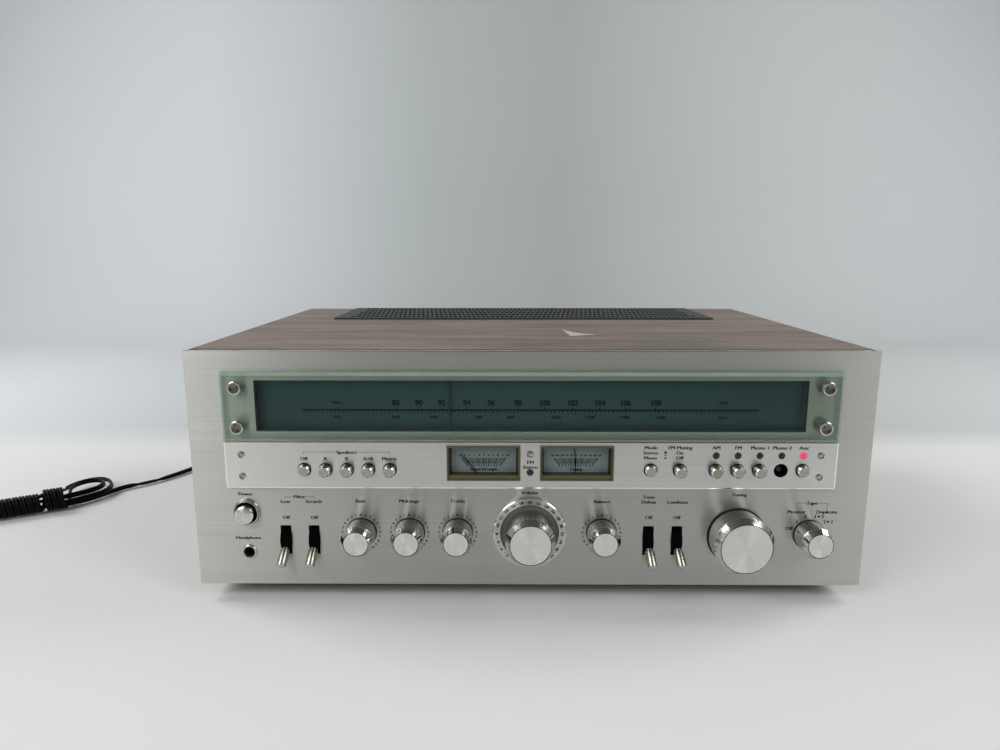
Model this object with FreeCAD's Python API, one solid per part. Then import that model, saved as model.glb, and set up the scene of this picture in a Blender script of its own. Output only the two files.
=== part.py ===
import FreeCAD, Part
import math
import os

# A stereo receiver in a wood cabinet. Units are millimetres and +Z is up.
# Pieces are modelled with X to the right, depth counted rearwards from the front panel's face
# and height counted up from the panel's bottom edge. place() then moves them so that the origin
# is under the middle of the object, on the surface that its feet stand on.

# ------------------------------------------------------------------ overall
PANEL_WIDTH = 490.0
PANEL_HEIGHT = 176.0
PANEL_THICKNESS = 4.0
CABINET_DEPTH = 325.0
BOARD = 12.0
PANEL_OVERHANG = 2.0
PANEL_TO_CABINET_GAP = 0.8
FOOT_HEIGHT = 12.0
FOOT_RADIUS = 15.0
FOOT_INSET = 45.0
REAR_REACH = 18.0
SHEET = 1.5
SLIDING_GAP = 0.3
RUNNING_GAP = 0.05
SCREW_GAP = 0.1

# ------------------------------------------------------------------ dial glass and window
GLASS_THICKNESS = 5.0
GLASS_EDGE_MARGIN = 25.7
GLASS_TOP_MARGIN = 14.8
GLASS_HEIGHT = 50.4
WINDOW_END_MARGIN = 23.0
WINDOW_TOP_MARGIN = 6.4
WINDOW_HEIGHT = 37.2
GLASS_SCREW_INSET = 11.3
GLASS_SCREW_SPACING = 28.6
GLASS_SCREW_HEAD_RADIUS = 4.9
GLASS_SCREW_HEAD = 1.8
GLASS_SCREW_RADIUS = 1.6
GLASS_BEVEL = 2.2
PANEL_EDGE_BREAK = 0.5

# ------------------------------------------------------------------ control strip
STRIP_THICKNESS = 3.0
STRIP_HEIGHT = 34.2
STRIP_GAP = 0.6
STRIP_CHAMFER = 1.0
STRIP_SCREW_INSET = 12.2
STRIP_SCREW_SPACING = 16.0
STRIP_SCREW_HEAD_RADIUS = 2.3
STRIP_SCREW_RADIUS = 1.2
STRIP_SCREW_HEAD = 0.8
STRIP_COUNTERBORE = 2.2
CENTRE_SCREW_BELOW_TOP = 8.4

# ------------------------------------------------------------------ buttons and lamps
BUTTON_ROW_BELOW_TOP = 20.2
LAMP_ROW_BELOW_TOP = 9.2
STEREO_LAMP_BELOW_TOP = 21.9
BUTTON_RADIUS = 4.4
BUTTON_HOLE_RADIUS = 5.05
BUTTON_OUT = 6.5
BUTTON_TRAVEL = 3.0
BUTTON_CHAMFER = 0.8
BUTTON_CAP_LENGTH = 11.5
STEM_RADIUS = 1.8
STEM_END_DEPTH = 21.5
BARE_STEM_DEPTH = 1.0
SWITCH_BANK_DEPTH = 12.0
SWITCH_BANK_HEIGHT = 13.0
SWITCH_BANK_MARGIN = 7.0
SPEAKER_BUTTON_FIRST = -162.4
SPEAKER_BUTTON_PITCH = 15.4
SPEAKER_BUTTON_COUNT = 5
MODE_BUTTON_X = 86.4
MUTING_BUTTON_X = 107.2
SELECTOR_BUTTON_FIRST = 132.7
SELECTOR_BUTTON_PITCH = 15.55
SELECTOR_BUTTON_COUNT = 5
PRESSED_SPEAKER_BUTTON = 1
PRESSED_SELECTOR_BUTTON = 5
BARE_SELECTOR = 4
LAMP_RADIUS = 2.4
LAMP_PROUD = 1.0
DIAL_LAMP_RADIUS = 3.0
DIAL_LAMP_LENGTH = 24.0
DIAL_LAMP_INSET = 14.0

# ------------------------------------------------------------------ meters
METER_X = 33.4
METER_WIDTH = 52.8
METER_HEIGHT = 25.5
METER_BELOW_TOP = 2.5
METER_FRAME_PROUD = 1.8
METER_SIDE_BORDER = 2.2
METER_TOP_BORDER = 1.6
METER_BOTTOM_BORDER = 4.6
METER_SKIRT = 0.8
METER_CASE_DEPTH = 18.0
METER_CASE_WALL = 1.2
METER_CASE_DROP = 5.4
METER_CAVITY = 3.2
NEEDLE_LENGTH = 25.4
NEEDLE_WIDTH = 0.6
NEEDLE_THICKNESS = 0.5
NEEDLE_HUB_RADIUS = 1.8
NEEDLE_PIN_RADIUS = 0.7
SIGNAL_NEEDLE_ANGLE = -39.0
TUNING_NEEDLE_ANGLE = -3.0

# ------------------------------------------------------------------ lower controls
CONTROL_ROW = 40.9
TAPE_ROW = 40.3
VOLUME_ROW = 41.5
TUNING_ROW = 38.8
LEVER_ROW = 35.2
BASS_X = -123.6
MIDRANGE_X = -88.1
TREBLE_X = -52.8
BALANCE_X = 52.8
TUNING_INSET = 93.2
TAPE_INSET = 40.7
POWER_INSET = 38.2
POWER_ROW = 56.6
JACK_ROW = 25.7
LEVER_X = (-179.1, -158.3, 87.1, 108.0)
LEVER_SLOT_WIDTH = 7.9
LEVER_SLOT_HEIGHT = 22.4
LEVER_DRUM_RADIUS = 9.5
LEVER_DRUM_WIDTH = 6.8
LEVER_AXLE_DEPTH = 5.0
LEVER_AXLE_RADIUS = 1.2
LEVER_COLLAR_RADIUS = 3.0
LEVER_COLLAR_END = 11.0
LEVER_RADIUS = 3.5
LEVER_REACH = 23.0
LEVER_TILT = 45.0
LEVER_LEANS = (-4.0, -4.0, 5.0, 6.0)
LEVER_CASE_WIDTH = 12.0
LEVER_CASE_DEPTH = 26.0
SMALL_KNOB = {"radius": 11.5, "body": 11.0, "face": 8.8, "length": 21.2, "rim": 4.2}
VOLUME_KNOB = {"radius": 17.8, "body": 17.2, "face": 14.9, "length": 24.5, "rim": 5.2}
TUNING_KNOB = {"radius": 21.5, "body": 20.9, "face": 18.4, "length": 23.2, "rim": 5.2}
KNOB_STAND_OFF = 0.8
KNOB_GROOVE = 0.5
SHAFT_RADIUS = 3.0
BUSH_RADIUS = 4.8
POT_RADIUS = 11.0
POT_DEPTH = 14.0
VOLUME_RING_OUTER = 27.0
VOLUME_RING_INNER = 21.2
VOLUME_RING_PROUD = 2.2
BEZEL_OUTER = 10.3
BEZEL_INNER = 7.4
BEZEL_PROUD = 3.4
POWER_BUTTON_RADIUS = 6.7
POWER_BUTTON_OUT = 7.6
POWER_TRAVEL = 3.5
JACK_RADIUS = 5.6
JACK_BORE = 3.25
JACK_PROUD = 1.2
JACK_LENGTH = 30.0
JACK_BORE_LENGTH = 15.0

# ------------------------------------------------------------------ chassis and dial drive
CHASSIS_CLEARANCE = 0.7
FRONT_WALL_DEPTH = 12.0
FRONT_WALL_TOP = 159.0
SIDE_WALL_HEIGHT = 60.0
REAR_PANEL_INSET = 7.0
DIAL_PLATE_DEPTH = 8.0
DIAL_PLATE_THICKNESS = 1.2
DIAL_PLATE_OVERLAP = 4.0
POINTER_DEPTH = 5.4
POINTER_THICKNESS = 0.8
POINTER_WIDTH = 1.0
POINTER_REST_X = -58.2
RAIL_DEPTH = 20.0
RAIL_HEIGHT = 153.5
RAIL_RADIUS = 1.5
RAIL_HALF_LENGTH = 180.0
CARRIAGE_SIZE = 7.0
GUIDE_POST_X = 190.0
GUIDE_POST_HEIGHT = 148.0
GUIDE_POST_RADIUS = 3.0
DIAL_CORD_DEPTH = 28.0
DIAL_CORD_THICKNESS = 0.8
DRUM_X = 30.0
DRUM_HEIGHT = 88.0
DRUM_RADIUS = 33.0
DRUM_THICKNESS = 5.0
TUNING_SLEEVE_RADIUS = 8.0
FLYWHEEL_RADIUS = 21.0
FLYWHEEL_DEPTH = 16.0
FLYWHEEL_THICKNESS = 7.0
CAPACITOR_SIZE = (50.0, 55.0, 40.0)

# ------------------------------------------------------------------ cabinet top grille
GRILLE_WIDTH = 376.0
GRILLE_DEPTH = 112.0
GRILLE_REAR_MARGIN = 8.0
GRILLE_PROUD = 1.5
GRILLE_LIP = 2.5
GRILLE_SKIRT = 8.0
GRILLE_PLAIN_END = 14.0
GRILLE_PLAIN_EDGE = 4.5
GRILLE_SLOT_WIDTH = 2.9
GRILLE_SLOT_LENGTH = 15.5
GRILLE_SLOT_PITCH = 4.7
GRILLE_ROWS = 5
SIDE_SCREW_RADIUS = 2.0
SIDE_SCREW_HEAD_RADIUS = 5.0
SIDE_SCREW_HEAD = 1.8
SIDE_SCREW_HEIGHT = 30.0
SIDE_SCREW_INSET = 70.0

# ------------------------------------------------------------------ inside
BOARD_THICKNESS = 1.6
STANDOFF_HEIGHT = 10.0
TRANSFORMER_CORE = (84.0, 52.0, 70.0)
TRANSFORMER_X = -150.0
TRANSFORMER_REAR_GAP = 62.0
CAN_RADIUS = 19.0
CAN_HEIGHT = 78.0
CAN_X = -66.0
HEATSINK_SIZE = (190.0, 44.0, 92.0)
HEATSINK_X = 60.0
HEATSINK_REAR_GAP = 16.0
FIN_COUNT = 12
FIN_THICKNESS = 2.0
TRANSISTOR_COUNT = 4

# ------------------------------------------------------------------ rear connections
PHONO_RADIUS = 4.15
PHONO_BORE = 1.65
PHONO_LENGTH = 9.0
PHONO_COLLAR_RADIUS = 5.2
PHONO_COLLAR = 1.0
PHONO_COLUMNS = 7
PHONO_PITCH = 18.0
PHONO_X = 76.0
PHONO_HEIGHT = 36.0
POST_RADIUS = 5.0
POST_LENGTH = 12.0
POST_PITCH = 17.0
POST_X = -66.0
POST_HEIGHT = 36.0
AERIAL_X = 120.0
AERIAL_HEIGHT = 105.0
AERIAL_PITCH = 14.0
OUTLET_X = -125.0
OUTLET_SIZE = (38.0, 26.0)
OUTLET_HEIGHT = 26.0
ANTENNA_RADIUS = 5.0
ANTENNA_LENGTH = 120.0
ANTENNA_HEIGHT = 128.0
ANTENNA_PIVOT_X = -60.0
ANTENNA_PIN_RADIUS = 2.0

# ------------------------------------------------------------------ mains cord
CORD_DIAMETER = 5.3
CORD_EXIT_X = -195.0
CORD_EXIT_HEIGHT = 20.0
RELIEF_ROOT_RADIUS = 7.0
RELIEF_TIP_RADIUS = 4.0
# Route of the cord's free stretch in the object's own frame: x, y, z. It starts at the relief's tip.
CORD_ROUTE = (
    (-195.0, 212.0, 32.0),
    (-198.0, 239.0, 25.0),
    (-212.0, 263.0, 13.0),
    (-239.0, 277.0, 5.0),
    (-273.0, 277.0, 3.0),
    (-309.0, 261.0, 3.0),
    (-338.0, 231.0, 3.0),
    (-360.0, 196.0, 3.0),
    (-377.0, 160.0, 3.0),
    (-389.0, 127.0, 3.0),
    (-402.0, 101.0, 3.0),
    (-418.0, 81.0, 3.0),
    (-430.0, 62.0, 3.0),
    (-437.0, 46.0, 3.0),
)
CORD_ARC_SHARE = 0.45
HANK_START = (-459.0, 19.0)
HANK_DIRECTION = (-0.85, -0.527)
HANK_LENGTH = 128.0
HANK_RADIUS = 9.6
# Outline of the loops at the hank's near end: x, y on the floor.
LOOP_OUTLINE = (
    (-471.0, 20.0), (-476.0, 37.0), (-484.0, 62.0), (-484.0, 77.0), (-474.0, 94.0),
    (-458.0, 94.0), (-440.0, 73.0), (-431.0, 52.0), (-436.0, 36.0), (-452.0, 16.0),
)
LOOP_HEIGHT = 11.0
PLUG_LENGTH = 30.0
PLUG_WIDTH = 23.0
PLUG_THICKNESS = 16.0
BLADE_SIZE = (1.5, 6.3, 17.0)
BLADE_SPACING = 12.7

# ------------------------------------------------------------------ sizes that follow
HALF_PANEL = PANEL_WIDTH / 2
CABINET_FRONT = PANEL_THICKNESS + PANEL_TO_CABINET_GAP
CABINET_REAR = CABINET_FRONT + CABINET_DEPTH
CABINET_HALF = HALF_PANEL - PANEL_OVERHANG
CABINET_TOP = PANEL_HEIGHT
CABINET_INSIDE = CABINET_HALF - BOARD
CHASSIS_HALF = CABINET_INSIDE - CHASSIS_CLEARANCE
FLOOR_TOP = SHEET
REAR_PANEL_TOP = CABINET_TOP - BOARD - CHASSIS_CLEARANCE
REAR_PANEL_DEPTH = CABINET_REAR - REAR_PANEL_INSET
REAR_FACE = REAR_PANEL_DEPTH + SHEET
FRONT_WALL_BACK = FRONT_WALL_DEPTH + SHEET
GLASS_HALF = HALF_PANEL - GLASS_EDGE_MARGIN
GLASS_TOP = PANEL_HEIGHT - GLASS_TOP_MARGIN
GLASS_BOTTOM = GLASS_TOP - GLASS_HEIGHT
GLASS_MIDDLE = (GLASS_TOP + GLASS_BOTTOM) / 2
WINDOW_HALF = GLASS_HALF - WINDOW_END_MARGIN
WINDOW_TOP = GLASS_TOP - WINDOW_TOP_MARGIN
WINDOW_BOTTOM = WINDOW_TOP - WINDOW_HEIGHT
STRIP_TOP = GLASS_BOTTOM - STRIP_GAP
STRIP_BOTTOM = STRIP_TOP - STRIP_HEIGHT
BUTTON_ROW = STRIP_TOP - BUTTON_ROW_BELOW_TOP
LAMP_ROW = STRIP_TOP - LAMP_ROW_BELOW_TOP
SWITCH_BANK_END = FRONT_WALL_BACK + SWITCH_BANK_DEPTH
METER_TOP = STRIP_TOP - METER_BELOW_TOP
METER_BOTTOM = METER_TOP - METER_HEIGHT
METER_OPENING_BOTTOM = METER_BOTTOM + METER_BOTTOM_BORDER
METER_OPENING_TOP = METER_TOP - METER_TOP_BORDER
METER_OPENING_HALF = METER_WIDTH / 2 - METER_SIDE_BORDER
METER_CUTOUT_HALF = METER_OPENING_HALF + METER_SKIRT
METER_CASE_HALF = METER_CUTOUT_HALF - SLIDING_GAP
METER_CASE_BOTTOM = METER_BOTTOM - METER_CASE_DROP
METER_CASE_TOP = METER_OPENING_TOP + METER_CASE_WALL
NEEDLE_PIVOT_HEIGHT = METER_CASE_BOTTOM + METER_CASE_WALL + NEEDLE_HUB_RADIUS + SLIDING_GAP
TUNING_X = HALF_PANEL - TUNING_INSET
TAPE_X = HALF_PANEL - TAPE_INSET
POWER_X = POWER_INSET - HALF_PANEL
JACK_X = POWER_X
GUIDE_GROOVE = GUIDE_POST_RADIUS + SLIDING_GAP
GRILLE_FRONT = CABINET_REAR - GRILLE_REAR_MARGIN - GRILLE_DEPTH
GRILLE_HALF = GRILLE_WIDTH / 2
FRONT_REACH = VOLUME_KNOB["length"]
MIDDLE_DEPTH = (CABINET_REAR + REAR_REACH - FRONT_REACH) / 2
SHIFT = FreeCAD.Vector(0, -MIDDLE_DEPTH, FOOT_HEIGHT)
ACROSS = FreeCAD.Vector(1, 0, 0)
REARWARD = FreeCAD.Vector(0, 1, 0)
UP = FreeCAD.Vector(0, 0, 1)

KNOBS = {
    "bass_knob": (BASS_X, CONTROL_ROW, SMALL_KNOB, POT_RADIUS),
    "midrange_knob": (MIDRANGE_X, CONTROL_ROW, SMALL_KNOB, POT_RADIUS),
    "treble_knob": (TREBLE_X, CONTROL_ROW, SMALL_KNOB, POT_RADIUS),
    "volume_knob": (0.0, VOLUME_ROW, VOLUME_KNOB, POT_RADIUS),
    "balance_knob": (BALANCE_X, CONTROL_ROW, SMALL_KNOB, POT_RADIUS),
    "tape_knob": (TAPE_X, TAPE_ROW, SMALL_KNOB, POT_RADIUS),
}


# ------------------------------------------------------------------ shapes
def box(x, depth, height):
    """A block from (low, high) pairs along X, depth and height."""
    corner = FreeCAD.Vector(x[0], depth[0], height[0])
    return Part.makeBox(x[1] - x[0], depth[1] - depth[0], height[1] - height[0], corner)


def rod(x, height, radius, start, end):
    """A cylinder along the depth, from one depth to another."""
    return Part.makeCylinder(radius, end - start, FreeCAD.Vector(x, start, height), REARWARD)


def post(x, depth, radius, bottom, top):
    return Part.makeCylinder(radius, top - bottom, FreeCAD.Vector(x, depth, bottom), UP)


def cross_rod(start, end, depth, height, radius):
    return Part.makeCylinder(radius, end - start, FreeCAD.Vector(start, depth, height), ACROSS)


def turned(x, height, profile):
    """A solid of revolution about a line along the depth, from (radius, depth) points."""
    points = [FreeCAD.Vector(x + radius, depth, height) for radius, depth in profile]
    face = Part.Face(Part.makePolygon(points + points[:1]))
    return face.revolve(FreeCAD.Vector(x, 0, height), REARWARD, 360)


def joined(pieces):
    return pieces[0].multiFuse(pieces[1:]).removeSplitter() if len(pieces) > 1 else pieces[0]


def button_places():
    """Name, x, and how far the cap stands out at rest, for every button on the strip."""
    places = []
    for number in range(1, SPEAKER_BUTTON_COUNT + 1):
        x = SPEAKER_BUTTON_FIRST + (number - 1) * SPEAKER_BUTTON_PITCH
        out = BUTTON_OUT - BUTTON_TRAVEL * (number == PRESSED_SPEAKER_BUTTON)
        places.append(("speaker_button_%d" % number, x, out))
    places.append(("mode_button", MODE_BUTTON_X, BUTTON_OUT - BUTTON_TRAVEL))
    places.append(("muting_button", MUTING_BUTTON_X, BUTTON_OUT))
    for number in range(1, SELECTOR_BUTTON_COUNT + 1):
        x = SELECTOR_BUTTON_FIRST + (number - 1) * SELECTOR_BUTTON_PITCH
        out = BUTTON_OUT - BUTTON_TRAVEL * (number == PRESSED_SELECTOR_BUTTON)
        name = "selector_stem_%d" if number == BARE_SELECTOR else "selector_button_%d"
        places.append((name % number, x, out))
    return places


def selector_lamp_places():
    return [(x, LAMP_ROW) for name, x, out in button_places() if name.startswith("selector")]


def lamp_places():
    return selector_lamp_places() + [(0.0, STRIP_TOP - STEREO_LAMP_BELOW_TOP)]


def glass_screw_places():
    half = GLASS_SCREW_SPACING / 2
    x = GLASS_HALF - GLASS_SCREW_INSET
    return [(side * x, GLASS_MIDDLE + step) for side in (-1, 1) for step in (-half, half)]


def strip_screw_places():
    half = STRIP_SCREW_SPACING / 2
    x = GLASS_HALF - STRIP_SCREW_INSET
    middle = (STRIP_TOP + STRIP_BOTTOM) / 2
    ends = [(side * x, middle + step) for side in (-1, 1) for step in (-half, half)]
    return ends + [(0.0, STRIP_TOP - CENTRE_SCREW_BELOW_TOP)]


# ------------------------------------------------------------------ front
def edge_depth(edge):
    """The depth that an edge lies at, or none if it runs rearwards."""
    ends = {round(vertex.Point.y, 3) for vertex in edge.Vertexes}
    return ends.pop() if len(ends) == 1 else None


def front_panel():
    panel = box((-HALF_PANEL, HALF_PANEL), (0, PANEL_THICKNESS), (0, PANEL_HEIGHT))
    panel = panel.makeChamfer(PANEL_EDGE_BREAK, [e for e in panel.Edges if edge_depth(e) == 0])
    window = box((-WINDOW_HALF, WINDOW_HALF), (-1, PANEL_THICKNESS + 1), (WINDOW_BOTTOM, WINDOW_TOP))
    through = (-1, PANEL_THICKNESS + 1)
    cuts = [window]
    for x, height in glass_screw_places():
        cuts.append(rod(x, height, GLASS_SCREW_RADIUS + SCREW_GAP, *through))
    for x, height in strip_screw_places():
        cuts.append(rod(x, height, STRIP_SCREW_RADIUS + SCREW_GAP, *through))
    for name, x, out in button_places():
        cuts.append(rod(x, BUTTON_ROW, BUTTON_HOLE_RADIUS, *through))
    for x, height in lamp_places():
        cuts.append(rod(x, height, LAMP_RADIUS + SCREW_GAP, *through))
    for side in (-1, 1):
        across = (side * METER_X - METER_CUTOUT_HALF, side * METER_X + METER_CUTOUT_HALF)
        low = METER_CASE_BOTTOM - SLIDING_GAP
        cuts.append(box(across, through, (low, METER_CASE_TOP + SLIDING_GAP)))
    for x in LEVER_X:
        cuts.append(lever_slot(x, through))
    for x, height, knob, pot in KNOBS.values():
        cuts.append(rod(x, height, BUSH_RADIUS + SCREW_GAP, *through))
    cuts.append(rod(TUNING_X, TUNING_ROW, BUSH_RADIUS + SCREW_GAP, *through))
    cuts.append(rod(POWER_X, POWER_ROW, BEZEL_INNER, *through))
    cuts.append(rod(JACK_X, JACK_ROW, JACK_RADIUS - JACK_PROUD + SCREW_GAP, *through))
    return [panel.cut(cuts)]


def lever_slot(x, depth):
    half = LEVER_SLOT_WIDTH / 2
    rise = LEVER_SLOT_HEIGHT / 2
    return box((x - half, x + half), depth, (LEVER_ROW - rise, LEVER_ROW + rise))


def dial_glass():
    plate = box((-GLASS_HALF, GLASS_HALF), (-GLASS_THICKNESS, 0), (GLASS_BOTTOM, GLASS_TOP))
    plate = plate.makeChamfer(GLASS_BEVEL, [e for e in plate.Edges if edge_depth(e) == -GLASS_THICKNESS])
    holes = [rod(x, height, GLASS_SCREW_RADIUS + SLIDING_GAP, -GLASS_THICKNESS - 1, 1)
             for x, height in glass_screw_places()]
    return [plate.cut(holes)]


def front_screws():
    screws = []
    for x, height in glass_screw_places():
        head = rod(x, height, GLASS_SCREW_HEAD_RADIUS, -GLASS_THICKNESS - GLASS_SCREW_HEAD, -GLASS_THICKNESS)
        shank = rod(x, height, GLASS_SCREW_RADIUS, -GLASS_THICKNESS, PANEL_THICKNESS)
        screws.append(joined([head, shank]))
    for x, height in strip_screw_places():
        seat = STRIP_COUNTERBORE - STRIP_THICKNESS
        head = rod(x, height, STRIP_SCREW_HEAD_RADIUS, seat - STRIP_SCREW_HEAD, seat)
        shank = rod(x, height, STRIP_SCREW_RADIUS, seat, PANEL_THICKNESS)
        screws.append(joined([head, shank]))
    return screws


def control_strip():
    strip = box((-GLASS_HALF, GLASS_HALF), (-STRIP_THICKNESS, 0), (STRIP_BOTTOM, STRIP_TOP))
    face_edges = [e for e in strip.Edges if edge_depth(e) == -STRIP_THICKNESS]
    strip = strip.makeChamfer(STRIP_CHAMFER, [e for e in face_edges if e.CenterOfMass.z < STRIP_TOP - 1])
    through = (-STRIP_THICKNESS - 1, 1)
    cuts = []
    for name, x, out in button_places():
        cuts.append(rod(x, BUTTON_ROW, BUTTON_HOLE_RADIUS, *through))
    for x, height in lamp_places():
        cuts.append(rod(x, height, LAMP_RADIUS + SCREW_GAP, *through))
    for x, height in strip_screw_places():
        cuts.append(rod(x, height, STRIP_SCREW_RADIUS + SCREW_GAP, *through))
        bore = STRIP_SCREW_HEAD_RADIUS + SLIDING_GAP
        cuts.append(rod(x, height, bore, through[0], STRIP_COUNTERBORE - STRIP_THICKNESS))
    for side in (-1, 1):
        across = (side * METER_X - METER_CUTOUT_HALF, side * METER_X + METER_CUTOUT_HALF)
        cuts.append(box(across, through, (METER_OPENING_BOTTOM - METER_SKIRT, METER_OPENING_TOP + METER_SKIRT)))
    return [strip.cut(cuts)]


def front_trim():
    """The two meter frames, the power button's bezel and the volume scale ring."""
    pieces = []
    for side in (-1, 1):
        x = side * METER_X
        half = METER_WIDTH / 2
        opening = (x - METER_OPENING_HALF, x + METER_OPENING_HALF)
        skirt_x = (opening[0] - METER_SKIRT, opening[1] + METER_SKIRT)
        skirt_z = (METER_OPENING_BOTTOM - METER_SKIRT, METER_OPENING_TOP + METER_SKIRT)
        front = -STRIP_THICKNESS - METER_FRAME_PROUD
        flange = box((x - half, x + half), (front, -STRIP_THICKNESS), (METER_BOTTOM, METER_TOP))
        skirt = box(skirt_x, (-STRIP_THICKNESS, 0), skirt_z)
        opening_z = (METER_OPENING_BOTTOM, METER_OPENING_TOP)
        pieces.append(joined([flange, skirt]).cut(box(opening, (front - 1, 1), opening_z)))
    lip = BEZEL_INNER - 0.4
    pieces.append(turned(POWER_X, POWER_ROW, [
        (BEZEL_INNER, PANEL_THICKNESS), (lip, PANEL_THICKNESS), (lip, -BEZEL_PROUD),
        (BEZEL_INNER + 0.8, -BEZEL_PROUD), (BEZEL_OUTER, -0.8), (BEZEL_OUTER, 0), (BEZEL_INNER, 0)]))
    pieces.append(turned(0.0, VOLUME_ROW, [
        (VOLUME_RING_INNER, 0), (VOLUME_RING_INNER, -0.8), (VOLUME_RING_INNER + 0.6, -1.2),
        (VOLUME_RING_OUTER - 1.0, -VOLUME_RING_PROUD), (VOLUME_RING_OUTER, -VOLUME_RING_PROUD + 0.8),
        (VOLUME_RING_OUTER, 0)]))
    return pieces


def indicator_lamps():
    """Small lenses on the strip, and the lamp at each end of the dial."""
    lamps = []
    for x, height in lamp_places():
        lamps.append(rod(x, height, LAMP_RADIUS, -STRIP_THICKNESS - LAMP_PROUD, FRONT_WALL_DEPTH))
    for side in (-1, 1):
        x = side * (GLASS_HALF - DIAL_LAMP_INSET)
        depth = FRONT_WALL_DEPTH - DIAL_LAMP_RADIUS - SLIDING_GAP
        half = DIAL_LAMP_LENGTH / 2
        lamps.append(post(x, depth, DIAL_LAMP_RADIUS, GLASS_MIDDLE - half, GLASS_MIDDLE + half))
    return lamps


def button(x, out):
    front = -STRIP_THICKNESS - out
    cap_end = front + BUTTON_CAP_LENGTH
    profile = [(0, front), (BUTTON_RADIUS - BUTTON_CHAMFER, front), (BUTTON_RADIUS, front + BUTTON_CHAMFER),
               (BUTTON_RADIUS, cap_end), (STEM_RADIUS, cap_end),
                (STEM_RADIUS, STEM_END_DEPTH), (0, STEM_END_DEPTH)]
    return turned(x, BUTTON_ROW, profile)


def power_button():
    front = -POWER_BUTTON_OUT
    back = FRONT_WALL_BACK - POWER_TRAVEL - SHEET - SLIDING_GAP
    profile = [(0, front), (POWER_BUTTON_RADIUS - 0.5, front), (POWER_BUTTON_RADIUS, front + 0.5),
               (POWER_BUTTON_RADIUS, back), (STEM_RADIUS, back),
                (STEM_RADIUS, STEM_END_DEPTH), (0, STEM_END_DEPTH)]
    return turned(POWER_X, POWER_ROW, profile)


def lever(x, lean_degrees):
    """A black drum on its axle, with the bright round lever standing out of it."""
    half = LEVER_DRUM_WIDTH / 2
    centre = FreeCAD.Vector(x, LEVER_AXLE_DEPTH, LEVER_ROW)
    drum = cross_rod(x - half, x + half, LEVER_AXLE_DEPTH, LEVER_ROW, LEVER_DRUM_RADIUS)
    turn = math.radians(LEVER_TILT)
    lean = math.radians(lean_degrees)
    outwards = math.cos(lean)
    direction = FreeCAD.Vector(math.sin(lean), -math.cos(turn) * outwards, -math.sin(turn) * outwards)
    root = LEVER_AXLE_RADIUS + 2.0
    length = LEVER_REACH - 1 - root
    collar = Part.makeCylinder(LEVER_COLLAR_RADIUS, length, centre + direction * root, direction)
    length = LEVER_REACH - LEVER_COLLAR_END
    handle = Part.makeCylinder(LEVER_RADIUS, length, centre + direction * LEVER_COLLAR_END, direction)
    bore = cross_rod(x - half - 1, x + half + 1, LEVER_AXLE_DEPTH, LEVER_ROW, LEVER_AXLE_RADIUS + RUNNING_GAP)
    return joined([drum, collar, handle]).cut(bore)


def lever_switches():
    """Switch bodies behind the panel; each carries its lever's axle between two cheeks."""
    switches = []
    rise = LEVER_SLOT_HEIGHT / 2 + 1.5
    cavity_half = LEVER_DRUM_WIDTH / 2 + SLIDING_GAP
    back = LEVER_AXLE_DEPTH + LEVER_DRUM_RADIUS + SLIDING_GAP
    for x in LEVER_X:
        half = LEVER_CASE_WIDTH / 2
        body = box((x - half, x + half), (PANEL_THICKNESS, LEVER_CASE_DEPTH),
                   (LEVER_ROW - rise, LEVER_ROW + rise))
        cavity = box((x - cavity_half, x + cavity_half), (PANEL_THICKNESS - 1, back),
                     (LEVER_ROW - rise + 1, LEVER_ROW + rise - 1))
        axle = cross_rod(x - half, x + half, LEVER_AXLE_DEPTH, LEVER_ROW, LEVER_AXLE_RADIUS)
        trimmed = axle.cut(box((x - half, x + half), (0, PANEL_THICKNESS), (LEVER_ROW - 5, LEVER_ROW + 5)))
        switches.append(joined([body.cut(cavity), trimmed]))
    return switches


def knob(x, height, size, shaft_end):
    """A turned knob with a groove behind its bevelled rim, on a metal shaft."""
    front = -size["length"]
    rim = front + size["rim"]
    land = rim + 0.8
    body = [(0, front), (size["face"], front), (size["radius"], rim), (size["radius"], land),
            (size["body"] - KNOB_GROOVE, land + 0.2), (size["body"] - KNOB_GROOVE, land + 1.0),
            (size["body"], land + 1.2), (size["body"], -KNOB_STAND_OFF), (0, -KNOB_STAND_OFF)]
    cap = turned(x, height, body)
    shaft = rod(x, height, SHAFT_RADIUS, -KNOB_STAND_OFF, shaft_end)
    return joined([cap, shaft])


def rotary_controls():
    """Potentiometers and the tape switch, each with its bush, and the tuning shaft's bush."""
    controls = []
    for x, height, size, radius in KNOBS.values():
        body = rod(x, height, radius, FRONT_WALL_BACK, FRONT_WALL_BACK + POT_DEPTH)
        bush = rod(x, height, BUSH_RADIUS, 0.0, FRONT_WALL_BACK)
        bore = rod(x, height, SHAFT_RADIUS + RUNNING_GAP, -1.0, FRONT_WALL_BACK + POT_DEPTH - SHEET)
        controls.append(joined([body, bush]).cut(bore))
    bush = rod(TUNING_X, TUNING_ROW, BUSH_RADIUS, 0.0, FRONT_WALL_BACK)
    controls.append(bush.cut(rod(TUNING_X, TUNING_ROW, SHAFT_RADIUS + RUNNING_GAP, -1.0, FRONT_WALL_BACK + 1)))
    return controls


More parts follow.
